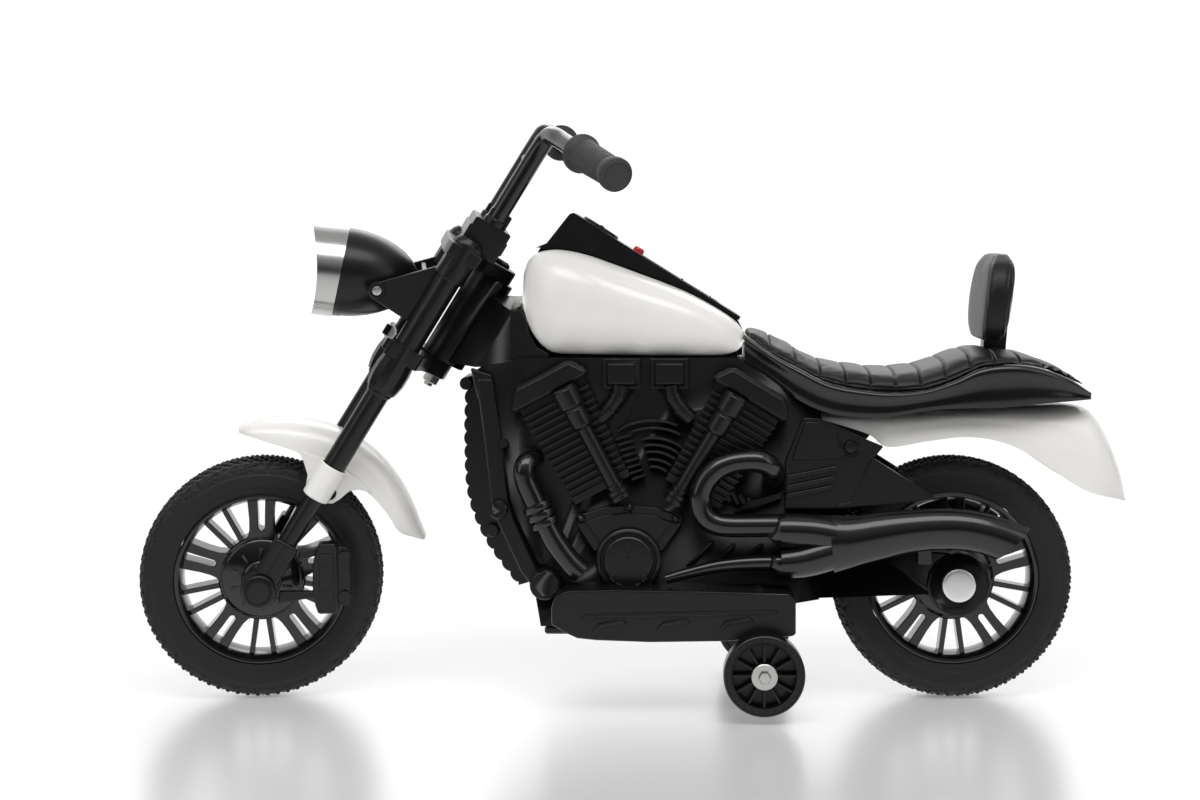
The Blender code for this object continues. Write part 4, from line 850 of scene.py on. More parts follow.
back = cushion(closed_tube(70, 96, back_point), voxel=3.0, pressure=1.2, cap=1.4)
for offset, depth in ((2.6, 1.2), (20.5, 1.0), (25.0, 1.0)):
    groove_round(back, offset, depth, 0.9)
finished(back, "backrest_cushion", leatherette, "chassis", ["backrest_pad"],
         crease=60.0)


# Fork
# Two moulded legs in satin black: a lower tube that plugs into a square foot with the axle's
# eye, a wider middle tube and the upper tube, held by the two yokes.

LEG_Y = 56.0
AXLE_RADIUS = 6.0
RAKE = math.radians(31.4)
FORK = Matrix.Translation(FRONT_AXLE) @ Matrix.Rotation(RAKE, 4, "Y")

# Moulded black plastic of the body and the fork: a satin skin with a fine spark-eroded grain.
satin_black = moulded("satin_black_plastic", "0C0C0D", "131314", 0.3, 0.06, 0.8, 0.02, IOR=1.45,
                      Specular_IOR_Level=0.34)
# Zinc-plated steel: pale grey, with the fine uneven sheen that plating leaves.
zinc_steel = moulded("zinc_plated_steel", "A9A9A6", "BDBDBA", 0.3, 0.08, 1.5, 0.01, Metallic=1.0)


def fork_space(piece):
    """Moves a piece made with x behind the fork and z along it to its place on the bike."""
    only(piece)
    piece.matrix_world = FORK @ piece.matrix_world
    bpy.ops.object.transform_apply(location=True, rotation=True, scale=True)
    return piece


def rounded_box(low, high, bevel=1.5, segments=3):
    """A box between two corners, with rounded edges."""
    outline = [(low[0], low[2]), (high[0], low[2]), (high[0], high[2]), (low[0], high[2])]
    return slab(outline, low[1], high[1], bevel, segments)


def plate(outline, low, high, bevel=1.5):
    """A plate from an outline of (x, y) points, between two heights."""
    flat = slab([(x, -y) for x, y in outline], low, high, bevel)
    flat.data.transform(Matrix.Rotation(math.radians(90), 4, "X"))
    return flat


def cut(piece, cutter):
    """Takes one shape out of another."""
    only(piece)
    taken = piece.modifiers.new("cut", "BOOLEAN")
    taken.operation = "DIFFERENCE"
    taken.solver = "EXACT"
    taken.object = cutter
    bpy.ops.object.modifier_apply(modifier=taken.name)
    bpy.data.objects.remove(cutter, do_unlink=True)
    return piece


def upright(profile, x=0.0, y=0.0, steps=64):
    """A turned shape on an upright axis."""
    return lathe(profile, (x, y, 0), (0, 0, 1), steps)


for label, side in SIDES:
    y = side * LEG_Y
    tubes = upright([(10, 52), (10, 146.5), (10.6, 147), (12.1, 149.4), (12.1, 234), (12.6, 235.4),
                     (14, 238), (14, 405), (12, 409)], 0, y)
    foot = rounded_box((-13, y - 13, 4), (13, y + 13, 57), 3.6)
    eye = lathe([(19, -12.6), (19.2, -11.8), (19.2, 11.8), (19, 12.6), (15.6, 12.9), (15.4, 12.0),
                 (10, 12.0)], (0, y, 0), (0, side, 0), 72)
    rib = rounded_box((-1.4, y - 13.6, 20), (1.4, y + 13.6, 52), 0.8, 2)
    leg = fork_space(joined([tubes, foot, eye, rib]))
    finished(leg, f"fork_leg_{label}_moulding", satin_black, "steering",
             [f"fork_leg_{label}"], True)

axle = lathe([(AXLE_RADIUS - 0.6, -68.9), (AXLE_RADIUS, -68.2), (AXLE_RADIUS, 68.2),
              (AXLE_RADIUS - 0.6, 68.9)], FRONT_AXLE)
finished(axle, "front_axle_rod", zinc_steel, "steering", ["front_axle"], True)
for label, side in SIDES:
    cap = lathe([(17.5, 69.3), (17.5, 73.6), (17.1, 74.6), (15.9, 75.6), (13.4, 76.2), (12.8, 75.4),
                 (12.0, 75.4), (11.4, 76.3), (6, 76.6)], FRONT_AXLE, (0, side, 0), 72)
    finished(cap, f"front_cap_{label}_moulding", satin_black, "steering",
             [f"front_cap_{label}"], True)


# Yokes
# The lower yoke is a waisted plate on barrel-shaped collars, with the steering stem in it.
# The upper yoke caps the legs and carries the clamp of the handlebar.

STEM_BEHIND = 44.0
LOWER_YOKE = (276.0, 294.0)
UPPER_YOKE = (397.0, 412.0)
COLLAR = [(15.8, 240), (17.2, 244), (19, 254), (19, 266), (17, 279), (17, 293)]
LEG_CAP = [(16.2, 374), (17.2, 376), (17.2, 412), (15.4, 417.5), (12.2, 422)]

waist = [(-19, -70), (-16, -72), (17, -72), (20, -69), (28, -40), (36, -27), (52, -18), (55.6, -10),
         (56.5, 0), (55.6, 10), (52, 18), (36, 27), (28, 40), (20, 69), (17, 72), (-16, 72), (-19, 70),
         (-16, 34), (-14, 20), (-14, -20), (-16, -34)]
lower = [plate(waist, *LOWER_YOKE, 1.8)]
lower.append(upright([(9, 278), (9, 408), (8, 409)], STEM_BEHIND))
lower.append(plate([(-2, -22), (40, -14), (40, 14), (-2, 22)], 294, 296.4, 0.9))
for label, side in SIDES:
    lower.append(upright(COLLAR, 0, side * LEG_Y, 12))
    lower.append(rounded_box((-22.4, side * LEG_Y - 4, 279), (-15, side * LEG_Y + 4, 291), 1.2))
finished(fork_space(joined(lower)), "lower_yoke_moulding", satin_black, "steering",
         ["lower_yoke"], True, 28.0)
nut = upright([(6.5, 276), (9.2, 274.6), (9.2, 267), (8.4, 266), (5.2, 266), (5.2, 262.6), (4.4, 262)],
              STEM_BEHIND, 0, 6)
finished(fork_space(nut), "stem_nut", zinc_steel, "steering", (), True)

crown = [(-20, -58), (-16, -72), (18, -72), (22, -58), (27, -40), (42, -28), (58, -18), (62.4, -10),
         (63.5, 0), (62.4, 10), (58, 18), (42, 28), (27, 40), (22, 58), (18, 72), (-16, 72), (-20, 58),
         (-21, 30), (-21, -30)]
upper = [plate(crown, *UPPER_YOKE, 1.8)]
upper.append(rounded_box((-8, -46, 410), (34, 46, 446), 2.6))
upper.append(rounded_box((-9.6, -44, 421), (35.6, 44, 436), 1.4))
upper.append(upright([(11, 411), (11, 415), (8, 417)], STEM_BEHIND, 0, 6))
for label, side in SIDES:
    upper.append(upright(LEG_CAP, 0, side * LEG_Y, 12))
    upper.append(rounded_box((2, side * 33 - 6, 444), (26, side * 33 + 6, 462), 1.8))
    upper.append(upright([(12.4, 445), (12.4, 451), (11.2, 452.6)], 12.5, side * 33, 48))
finished(fork_space(joined(upper)), "upper_yoke_moulding", satin_black, "steering",
         ["upper_yoke"], True, 28.0)


# Handlebar and grips
# One bent steel tube in black enamel with a cross brace. The grips are soft ribbed rubber
# with a bell at the inner end and a disc at the outer end.

BAR_RADIUS = 9.7
BRACE_RADIUS = 7.5
BRACE_ALONG = 522.0
GRIP_RINGS = 12
BAR_END = Vector((-38, 208, 564.8))
BAR_INNER = Vector((-65.5, 122, 582.5))

# Black enamel on the steel: smooth and near black, with a hard gloss.
black_enamel = moulded("black_enamel", "0A0A0B", "101011", 0.2, 0.04, 9.0, 0.006, IOR=1.5)
# Soft rubber: dark grey and dull, with a dusty grain.
grip_rubber = moulded("soft_grip_rubber", "29292A", "363637", 0.62, 0.08, 1.0, 0.04, IOR=1.45)


def smooth_run(points, per_span=8):
    """Points along a smooth curve through the given points."""
    values = [list(enumerate(axis)) for axis in zip(*points)]
    count = (len(points) - 1) * per_span
    return [tuple(level(axis, step / per_span) for axis in values) for step in range(count + 1)]


def pipe(points, radii, per_span=8, sides=12):
    """A tube along a smooth curve: a curve with a round bevel, made a mesh. radii fits points."""
    run = smooth_run([(*point, radius) for point, radius in zip(points, radii)], per_span)
    curve = bpy.data.curves.new("pipe", "CURVE")
    curve.dimensions = "3D"
    curve.bevel_depth = 1.0
    curve.bevel_resolution = sides
    curve.use_fill_caps = True
    spline = curve.splines.new("POLY")
    spline.points.add(len(run) - 1)
    for spot, (x, y, z, radius) in zip(spline.points, run):
        spot.co = (x, y, z, 1.0)
        spot.radius = radius
    tube = bpy.data.objects.new("pipe", curve)
    bpy.context.collection.objects.link(tube)
    only(tube)
    bpy.ops.object.convert(target="MESH")
    return outwards(bpy.context.object)


CLAMP_BEHIND = 12.5
CLAMP_Y = 33.0


def on_fork(along, behind, y):
    """A place beside the fork, from its distance along the legs."""
    return FORK @ Vector((behind, y, along))


bars = []
for label, side in SIDES:
    mirror = Vector((1, side, 1))
    half = [BAR_END, BAR_INNER, Vector((-77, 83, 590.5)), Vector((-84, 62, 595.5)),
            Vector((-88.5, 46, 596.5)), Vector((-92.5, 37, 592.5))]
    half += [on_fork(along, CLAMP_BEHIND, CLAMP_Y) for along in (534, 500, 446)]
    half = [spot * mirror for spot in half]
    bars.append(pipe(half, [BAR_RADIUS] * len(half), 8, 14))
brace = [on_fork(BRACE_ALONG, CLAMP_BEHIND, y) for y in (-36, 0, 36)]
bars.append(pipe(brace, [BRACE_RADIUS] * 3, 2, 12))
finished(joined(bars), "handlebar_tube", black_enamel, "steering",
         ["handlebar"], True)

grip_length = (BAR_END - BAR_INNER).length
for label, side in SIDES:
    mirror = Vector((1, side, 1))
    profile = [(11, 3), (19.4, 3), (20.2, 3.8), (20.2, 6.6), (19.2, 7.6), (17.4, 9.6), (16.4, 12)]
    for ring in range(GRIP_RINGS):
        place = 13.5 + ring * (grip_length - 30) / GRIP_RINGS
        fat = 16.0 - 1.2 * ring / GRIP_RINGS
        profile += [(fat, place), (fat + 0.5, place + 0.9), (fat + 0.5, place + 3.6), (fat, place + 4.5)]
    profile += [(14.8, grip_length - 13), (16.4, grip_length - 8), (17.2, grip_length - 5),
                (17.2, grip_length), (16.6, grip_length + 1.4), (14.6, grip_length + 2.4),
                (13.2, grip_length + 3.0), (12.6, grip_length + 2.2), (8, grip_length + 2.6)]
    grip = lathe(profile, BAR_INNER * mirror, (BAR_END - BAR_INNER) * mirror, 72)
    finished(grip, f"grip_{label}_rubber", grip_rubber, "steering", [f"grip_{label}"], True)


# Headlight
# A deep satin bowl with a plated bezel whose visor is scooped out in front, a fluted clear
# lens over a reflector, and a bracket with two ears that are screwed to the bowl.

LAMP = Vector((-309, 0, 452))
LAMP_TILT = math.radians(7.0)
SCOOP_RADIUS = 180.6
SCOOP_AHEAD = 201.0
SCOOP_BELOW = 15.6
FLUTES = 11
FLUTE_PITCH = 6.0
EAR_SCREW = (-269, 0, 437)
lamp_front = Vector((-math.cos(LAMP_TILT), 0, math.sin(LAMP_TILT)))

# Plated plastic: bright chrome with faint moulding waves.
chrome_plate = moulded("chrome_plated_plastic", "ABABAA", "B9B9B8", 0.21, 0.05, 9.0, 0.02, Metallic=1.0)
# Clear plastic: polished and nearly colourless, so that the reflector shows through.
clear_plastic = moulded("clear_lens_plastic", "F4F6F8", "FBFCFD", 0.05, 0.02, 5.0, 0.01, IOR=1.49,
                        Transmission_Weight=1.0)

bowl_profile = [(46.6, 2), (47.2, 0.8), (47.2, -6), (46.5, -7.2), (46.3, -14), (45, -24), (42.6, -35),
                (39, -46), (34, -57), (27.6, -67), (20, -75.2), (12, -80.8), (4, -83.8)]
bowl = lathe(bowl_profile, LAMP, lamp_front, 112)
bowl_hollow = [(43.4, 6), (43.4, -4), (41, -20), (36, -38), (26, -56), (12, -62)]
bowl = cut(bowl, lathe(bowl_hollow, LAMP, lamp_front, 96))
finished(bowl, "headlight_bowl_moulding", satin_black, "steering",
         ["headlight_bowl"], True)
cup_profile = [(43.0, 1.6), (41.6, -8), (37, -25), (30, -39), (20, -49), (9, -54), (8, -53.4), (19, -48),
               (29, -38), (36, -24.4), (40.4, -8), (41.8, 1.6)]
mirror_cup = lathe(cup_profile, LAMP, lamp_front, 96, loop=True)
finished(mirror_cup, "headlight_reflector", chrome_plate, "steering", (), True)
bezel_profile = [(47.5, -9), (48.6, -9), (48.6, 9), (48.3, 10), (48.3, 31.6), (47.4, 32), (46.6, 31.6),
                 (46.2, 10), (44.6, 7.4), (44.1, 5.6), (44.1, 2.8), (45, 2.4), (47.5, 2.4)]
bezel = lathe(bezel_profile, LAMP, lamp_front, 128, loop=True)


def lamp_point(ahead, above):
    """A place beside the lamp's axis, as x and z."""
    return (LAMP.x - math.cos(LAMP_TILT) * ahead + math.sin(LAMP_TILT) * above,
            LAMP.z + math.sin(LAMP_TILT) * ahead + math.cos(LAMP_TILT) * above)


behind_bezel = [lamp_point(-7, 54), lamp_point(2.2, -54), lamp_point(-40, -54), lamp_point(-40, 54)]
bezel = cut(bezel, slab(behind_bezel, -60, 60, 0))
scoop_x, scoop_z = lamp_point(SCOOP_AHEAD, -SCOOP_BELOW)
scoop = lathe([(SCOOP_RADIUS, -70), (SCOOP_RADIUS, 70)], (scoop_x, 0, scoop_z), (0, 1, 0), 200)
finished(cut(bezel, scoop), "headlight_bezel_ring", chrome_plate, "steering",
         ["headlight_bezel"], True)
lens_profile = [(43.2, 3.0), (43.2, 5.4), (42.4, 6.4), (38, 8.4), (26, 11), (12, 12.6), (4, 13)]
lens = lathe(lens_profile, LAMP, lamp_front, 96)
flutes = []
for index in range(FLUTES):
    place = index - FLUTES // 2
    y = FLUTE_PITCH * place
    reach = 30 - abs(place) * 3.2
    low_corner = (LAMP.x - 11.6, y - 0.7, LAMP.z - reach)
    high_corner = (LAMP.x - 6.0, y + 0.7, LAMP.z + reach)
    flutes.append(rounded_box(low_corner, high_corner, 0.5, 2))
finished(joined([lens] + flutes), "headlight_lens_moulding", clear_plastic, "steering",
         ["headlight_lens"], True)

ears = [rounded_box((-222, -52, 442), (-217, 52, 456), 1.0)]
for label, side in SIDES:
    ears.append(slab([(-276, 430), (-276, 437), (-270, 445), (-262, 447), (-206, 462), (-200, 456),
                      (-200, 446), (-224, 406), (-232, 403), (-240, 406)], side * 48.2, side * 53.2, 1.2))
    ears.append(lathe([(8.6, 41.0), (8.6, 55.2), (8.0, 56.0), (6.0, 56.0), (5.8, 54.6), (4, 54.6)],
                      EAR_SCREW, (0, side, 0), 48))
finished(joined(ears), "headlight_bracket_moulding", satin_black, "steering",
         ["headlight_bracket"], True)


def cross_screw(name, centre, direction, size, body, steered):
    """A pan-head screw with a cross recess, in zinc-plated steel."""
    head = lathe([(size, 0), (size, 0.5), (size * 0.9, 1.3), (size * 0.6, 1.8), (size * 0.2, 2.0)],
                 (0, 0, 0), (0, 0, 1), 48)
    wide, thin = size * 0.62, size * 0.14
    for reach_x, reach_y in ((wide, thin), (thin, wide)):
        bar = [(-reach_x, -reach_y), (reach_x, -reach_y), (reach_x, reach_y), (-reach_x, reach_y)]
        head = cut(head, plate(bar, 1.0, 3.0, 0))
    turn = Vector(direction).to_track_quat("Z", "X").to_matrix().to_4x4()
    head.data.transform(Matrix.Translation(Vector(centre)) @ turn)
    finished(head, name, zinc_steel, body, (), steered, 30.0)


for label, side in SIDES:
    spot = Vector(EAR_SCREW) + Vector((0, side * 54.8, 0))
    cross_screw(f"headlight_screw_{label}", spot, (0, side, 0), 5.2, "steering", True)


# Front fender
# A white blade over the wheel. A tab on each flank reaches to the fork, where a socket
# clips round the leg and a screw holds it.

FRONT_STATIONS = [(98, 163.5, 158, 15), (94, 166, 155, 26), (87, 169.5, 149.5, 33), (76, 173, 144.5, 36),
                  (62, 177.5, 141.5, 36), (48, 178.5, 143.5, 36), (37, 177.5, 147, 36), (27, 176, 149.5, 34),
                  (19, 175.5, 153, 29), (13, 177, 172, 18)]
TAB = [(38.8, 150), (43.6, 141.7), (46.3, 134.2), (47.0, 121), (48.2, 112.4), (50.6, 109.2), (56.7, 108.5),
       (62.6, 109.6), (65.4, 113.4), (66.8, 125), (70.6, 136.3), (74, 147), (60, 149), (48, 150)]
WHEEL_MIDDLE = Vector((-391.0, 0.0, 127.5))
FENDER_SCREW = (-319.5, 0, 222.5)
TAB_OUTER = 37.8


def front_point(u, v):
    """A place on the front blade: u from its front tip to its rear end, v from flank to flank."""
    angle, crown_reach, skirt_reach, half = station(FRONT_STATIONS, u)
    lean = math.pi * (v - 0.5)
    wide = math.copysign(abs(math.sin(lean)) ** 0.75, lean)
    rise = max(math.cos(lean), 0.0) ** 0.75
    reach = skirt_reach + (crown_reach - skirt_reach) * rise
    turn = math.radians(angle)
    return WHEEL_MIDDLE + Vector((reach * math.cos(turn), wide * half, reach * math.sin(turn)))


def side_box(side, low, high, bevel=1.5, segments=3):
    """A rounded box on one side of the bike, whose y values are distances from the middle."""
    near, far = sorted((side * low[1], side * high[1]))
    return rounded_box((low[0], near, low[2]), (high[0], far, high[2]), bevel, segments)


fender = [walled(facing(wrapped(130, 64, front_point), (0, 0, 1)), WALL)]
for label, side in SIDES:
    spots = [polar(reach, angle) for angle, reach in TAB]
    outline = [(WHEEL_MIDDLE.x + x, WHEEL_MIDDLE.z + z) for x, z in spots]
    tab = slab(outline, side * 34.4, side * TAB_OUTER, 1.0)
    fender.append(cut(tab, lathe([(7.4, 30), (7.4, 44)], FENDER_SCREW, (0, side, 0), 48)))
    web = side_box(side, (-12.0, 36, 114), (11.6, 50, 145), 1.6)
    socket = lathe([(10.4, 110), (13.4, 110), (14.4, 111.2), (14.5, 146), (13.6, 147.4), (12.9, 147.6),
                    (12.9, 144), (10.4, 143)], (0, side * LEG_Y, 0), (0, 0, 1), 64, loop=True)
    fender.append(fork_space(web))
    fender.append(fork_space(socket))
finished(joined(fender), "front_fender_blade", gloss_white, "steering",
         ["front_fender"], True)
for label, side in SIDES:
    seat = lathe([(7.2, 35.6), (7.2, 37.0), (6.2, 37.3), (4.2, 36.4), (2, 36.4)], FENDER_SCREW,
                 (0, side, 0), 48)
    finished(seat, f"fender_screw_seat_{label}", satin_black, "steering", (), True)


# Brake calliper
# A moulded dummy calliper behind the left foot: a ribbed block on two thin arms.

calliper = [slab([(-331, 101), (-312, 101), (-311, 106), (-311, 170), (-313, 175), (-330, 175), (-334, 166),
                  (-336.5, 150), (-336.5, 126), (-334, 110)], -64, -47.2, 2.4)]
calliper.append(slab([(-330, 112), (-315, 112), (-315, 164), (-330, 164)], -66.2, -63, 1.4))
for z in (121, 134, 147):
    calliper.append(slab([(-328, z), (-317, z), (-317, z + 6), (-328, z + 6)], -67.6, -65, 1.0))
calliper.append(slab([(-352, 158), (-330, 163), (-330, 170), (-350, 166)], -60, -52, 1.4))
calliper.append(slab([(-371.5, 113), (-330, 118), (-330, 124), (-371, 125)], -60, -52, 1.4))
flange = [(-313, 108), (-301, 108), (-299, 112), (-299, 166), (-302, 170), (-313, 170)]
calliper.append(slab(flange, -57.5, -53.5, 1.2))
for z in (118, 160):
    calliper.append(lathe([(6, -61), (6, -52)], (-304, 0, z), (0, 1, 0), 40))
finished(joined(calliper), "brake_calliper_moulding", satin_black, "steering",
         ["brake_caliper"], True)


# Body
# Two black moulded halves with the neck that flares to the steering head, the flat-faced
# frame tube, two bosses and the arm of the rear wheel. They are screwed together.

FACE = 62.3
FIN_ARCS = ((69.5, 68, 122), (62, 62, 114), (51.5, 52, 104), (44.5, 52, 103), (37.5, 51, 102),
            (29.5, 50, 101), (22, 48, 100))
ARC_MIDDLE = (24, 228)
cad = frame["nodes"]


def on_side(side, points):
    """Points given with y as a distance from the middle, on one side of the bike."""
    return [(x, side * y, z) for x, y, z in points]


def worked_copy(name):
    """A merged copy of a CAD node in millimetres, to be dressed with rounded edges and detail."""
    copy = bpy.data.objects.new(name, cad[name].data.copy())
    bpy.context.collection.objects.link(copy)
    copy.data.transform(cad[name].matrix_world)
    copy.data.transform(Matrix.Scale(1 / MM, 4))
    outwards(copy, 0.02)
    only(copy)
    bpy.ops.object.mode_set(mode="EDIT")
    bpy.ops.mesh.select_all(action="SELECT")
    bpy.ops.mesh.dissolve_limited(angle_limit=math.radians(1.0))
    bpy.ops.object.mode_set(mode="OBJECT")
    return copy


# The recessed engine bay gets a slightly darker tone and a weaker reflection than the covers on it. This is
# painted shade for the recess, not a different plastic.
bay_black_painted_shade = moulded("body_black_plastic_painted_shade", "0B0B0C", "111112", 0.34, 0.06, 0.8, 0.02, IOR=1.45,
                    Specular_IOR_Level=0.3)

for label, side in SIDES:
    body = [softened(worked_copy(f"body_shell_{label}"), 0.9)]
    tube = [(-157.5, 341), (-141, 341), (-131.5, 280), (-124.5, 216), (-117.5, 194), (-95, 145), (-79, 127),
            (-96, 122), (-112, 143), (-134.5, 191), (-142, 213), (-149.5, 280)]
    body.append(slab(tube, side * 61, side * 74.2, 2.2))
    facet = [(-164, 352), (-141, 345), (-149, 316), (-156, 320)]
    body.append(slab(facet, side * 60, side * 72.6, 2.0))
    for x, z, radius, top in ((-135.3, 206.6, 9.8, 78.0), (-86.9, 129.6, 15.6, 80.0)):
        boss = [(radius, 60), (radius, top - 2.4), (radius - 1.2, top - 1.0), (radius - 2.6, top - 0.6),
                (radius - 3.4, top - 2.0), (radius * 0.56, top - 2.0), (radius * 0.52, top - 0.4),
                (radius * 0.4, top - 0.4), (radius * 0.36, top - 3.0)]
        body.append(lathe(boss, (x, 0, z), (0, side, 0), 64))
    body.append(lathe([(5.2, 66), (5.2, 75.4), (4.2, 76.6)], (-129.5, 0, 274.6), (0, side, 0), 40))
    for x in (-8.4, 41.2):
        body.append(slab([(x - 19.5, 330.5), (x + 19.5, 330.5), (x + 19.5, 362), (x - 19.5, 362)],
                         side * 59, side * 71.4, 1.4))
        body.append(slab([(x - 14.5, 335), (x + 14.5, 335), (x + 14.5, 357.5), (x - 14.5, 357.5)],
                         side * 69, side * 76.4, 2.6))
        lean = -1 if x < 0 else 1
        neck = on_side(side, [(x + lean * 2, 68.6, 334), (x + lean * 4, 69, 322), (x + lean * 13, 69, 309),
                              (x + lean * 22, 67, 300)])
        body.append(pipe(neck, [8.2] * 4, 6, 8))
        for spot in neck[1:3]:
            body.append(lathe([(9.6, -1.4), (9.6, 1.4)], spot, (lean * 0.5, 0, -1), 40))
    corner = [(-124, 360), (-84, 360), (-84, 366), (-96, 372), (-104, 386), (-108, 404), (-114, 412),
              (-124, 410)]
    body.append(slab(corner, side * 20, side * 57, 1.0))
    for radius, start, stop in FIN_ARCS:
        run = [start + (stop - start) * step / 10 for step in range(11)]
        arc = [polar(radius + 1.4, angle) for angle in run]
        arc += [polar(radius - 1.4, angle) for angle in reversed(run)]
        body.append(slab([(x + ARC_MIDDLE[0], z + ARC_MIDDLE[1]) for x, z in arc],
                         side * 60, side * 67.4, 0.9, 2))
    for row in range(8):
        left, right, low = -15 + 2.4 * row, 2.6 + 2.0 * row, 278 - 5.9 * row
        body.append(slab([(left, low - 1.4), (right, low + 3.8), (right, low + 6.6), (left, low + 1.4)],
                         side * 60, side * 69.0, 0.9, 2))
    for row in range(4):
        low = 95 + 8.2 * row
        body.append(slab([(low, 226 - 3 * row), (low + 4, 229 - 3 * row), (low + 11, 215 - 3 * row),
                          (low + 7, 212 - 3 * row)], side * 60, side * 66.4, 0.9, 2))
    shelf = [(107, 202), (122, 214), (157, 224), (157, 217), (130, 207)]
    body.append(slab(shelf, side * 60, side * 67.6, 1.2))
    for left, low, right, high in ((58, 148, 82.8, 172.2), (94, 156, 105, 170), (120, 158, 134, 170)):
        slat = [(left, low), (left + 6, low), (right + 5, high), (right, high)]
        body.append(slab(slat, side * 60, side * 66.0, 1.0))
    # The body halves take the darker bay plastic, which carries painted shade for the recess.
    finished(joined(body), f"body_half_{label}", bay_black_painted_shade, "chassis",
             [f"body_shell_{label}"], crease=28.0)


# Grille spine
# A ribbed black guard down the front of the frame, moulded in one with two cross bars.

SPINE_PITCH = 14.4
SPINE_RIB = 3.6
SPINE_FRONT = [(-170.5, 340), (-171.5, 270), (-167.5, 214), (-148.5, 167), (-115, 121)]
SPINE_BACK = [(-158.2, 343.5), (-142, 215), (-135, 199), (-113, 146), (-100.7, 125.3)]

front_run = smooth_run(SPINE_FRONT, 60)
travelled = 0.0
outline = []
for (x0, z0), (x1, z1) in zip(front_run, front_run[1:]):
    step = math.hypot(x1 - x0, z1 - z0)
    lift = SPINE_RIB * abs(math.sin(math.pi * travelled / SPINE_PITCH)) ** 0.55
    outline.append((x0 + (z1 - z0) / step * lift, z0 - (x1 - x0) / step * lift))
    travelled += step
spine = [slab(outline + list(reversed(SPINE_BACK)), -24, 24, 0.0)]
for x, z, radius in ((-172.5, 333, 6.8), (-145, 178.6, 7.2)):
    spine.append(lathe([(radius - 1.2, -31), (radius, -29.6), (radius, 29.6), (radius - 1.2, 31)], (x, 0, z),
                       (0, 1, 0), 48))
finished(joined(spine), "grille_spine_moulding", satin_black, "chassis",
         ["grille_spine"], crease=40.0)


# Engine
# Four moulded covers that stand for the cylinders: cooling fins, a chamfered rocker cover
# and a pushrod tube with stepped collars. All are satin black plastic.

FIN_PITCH = 7.4
FINS = 13
FIN_THICK = 3.0
PUSHROD_Y = 82.6


def cylinder(name, side, origin, lean, rod_shift):
    """One cylinder cover, made upright and then leaned."""
    parts = [slab([(-37.5, 1), (37.5, 1), (31, -112), (-31, -112)], side * FACE, side * 67.5, 1.0)]
    for index in range(FINS):
        z = -7.5 - FIN_PITCH * index
        half = 38.6 + 0.06 * z
        fin = [(-half, z), (half, z), (half, z - FIN_THICK), (-half, z - FIN_THICK)]
        parts.append(slab(fin, side * 66, side * 74.0, 0.9, 2))
    parts.append(slab([(-33, -104), (33, -104), (32, -112), (-32, -112)], side * 64, side * 73.4, 1.2))
    rocker_cover = slab([(-44, 0), (44, 0), (44, 8), (32, 24), (-32, 24), (-44, 8)],
                        side * (FACE - 9), side * 82.0, 6.4, 1)
    parts.append(softened(rocker_cover, 0.9, 2, 20.0))
    rod = [(13, 1.3), (13, -1), (13.6, -2), (13.6, -19), (12.8, -20.6), (11, -22), (10.8, -24), (11.4, -25),
           (11.4, -41), (10.6, -43), (8, -45.3), (8, -110), (9.6, -111), (9.6, -113.4), (8.8, -114),
           (8.8, -116), (11.5, -117), (11.5, -121), (10.6, -122), (11.5, -123), (11.5, -127.4)]
    parts.append(lathe(rod, (rod_shift, side * PUSHROD_Y, 0), (0, 0, 1), 48))
    whole = joined(parts)
    whole.data.transform(Matrix.Translation(Vector(origin)) @ Matrix.Rotation(lean, 4, "Y"))
    finished(whole, f"{name}_cover", satin_black, "chassis", [name], crease=30.0)


for label, side in SIDES:
    cylinder(f"engine_front_{label}", side, (-80, 0, 325), math.radians(-28), 14)
    cylinder(f"engine_rear_{label}", side, (122, 0, 317), math.radians(31), -14)


# Timing cover
# A round cover with a groove and a slotted screw, and the fan-shaped plate above it with
# a raised panel and three domed screws.

TIMING_MIDDLE = (-1, 0, 154)
FAN = [(-37, 163), (-55.4, 191), (-56.4, 196.5), (-53.5, 200), (-28, 208.4), (-1, 211.4), (26, 208.4),
       (51.5, 200), (54.4, 196.5), (53.4, 191), (34, 163)]
FAN_PANEL = [(-29, 170), (-46, 193.5), (-26, 200.6), (-1, 203.4), (24, 200.6), (44, 193.5), (26, 170)]
for label, side in SIDES:
    disc = lathe([(34, FACE), (34, 77.2), (33.2, 79), (31.4, 80.2), (29.6, 80.6), (28.6, 80.0), (27.8, 78.6),
                  (26.6, 78.4), (26.0, 79.6), (25.6, 81.2), (24.2, 82.2), (20, 82.6), (6, 82.9)],
                 TIMING_MIDDLE, (0, side, 0), 96)
    disc = cut(disc, lathe([(3.4, 80.8), (3.4, 90)], (-1, 0, 170), (0, side, 0), 32))
    disc = cut(disc, slab([(-2.2, 158), (0.2, 158), (0.2, 170), (-2.2, 170)], side * 80.8, side * 90, 0))
    parts = [disc, slab(FAN, side * FACE, side * 70.4, 1.6), slab(FAN_PANEL, side * 69, side * 72.6, 1.4)]
    for x, z in ((-50.5, 196.5), (-1, 208.5), (48.5, 196.5)):
        parts.append(lathe([(5.6, 66), (5.6, 72.6), (5.0, 73.6), (4.2, 73.2), (3.6, 74.2), (1.6, 75.4)],
                           (x, 0, z), (0, side, 0), 40))
    for x, z in ((-17.5, 137.5), (15.5, 137.5)):
        parts.append(lathe([(3.6, 80), (3.6, 83.4), (2.8, 84.2), (1.2, 84.4)], (x, 0, z), (0, side, 0), 32))
    finished(joined(parts), f"timing_cover_{label}_moulding", satin_black, "chassis",
             [f"timing_cover_{label}"], crease=30.0)


# Header pipes
# Short glossy black pipes that leave the front cylinder by an elbow and run down behind the
# timing cover, each with a clamp of three rings.

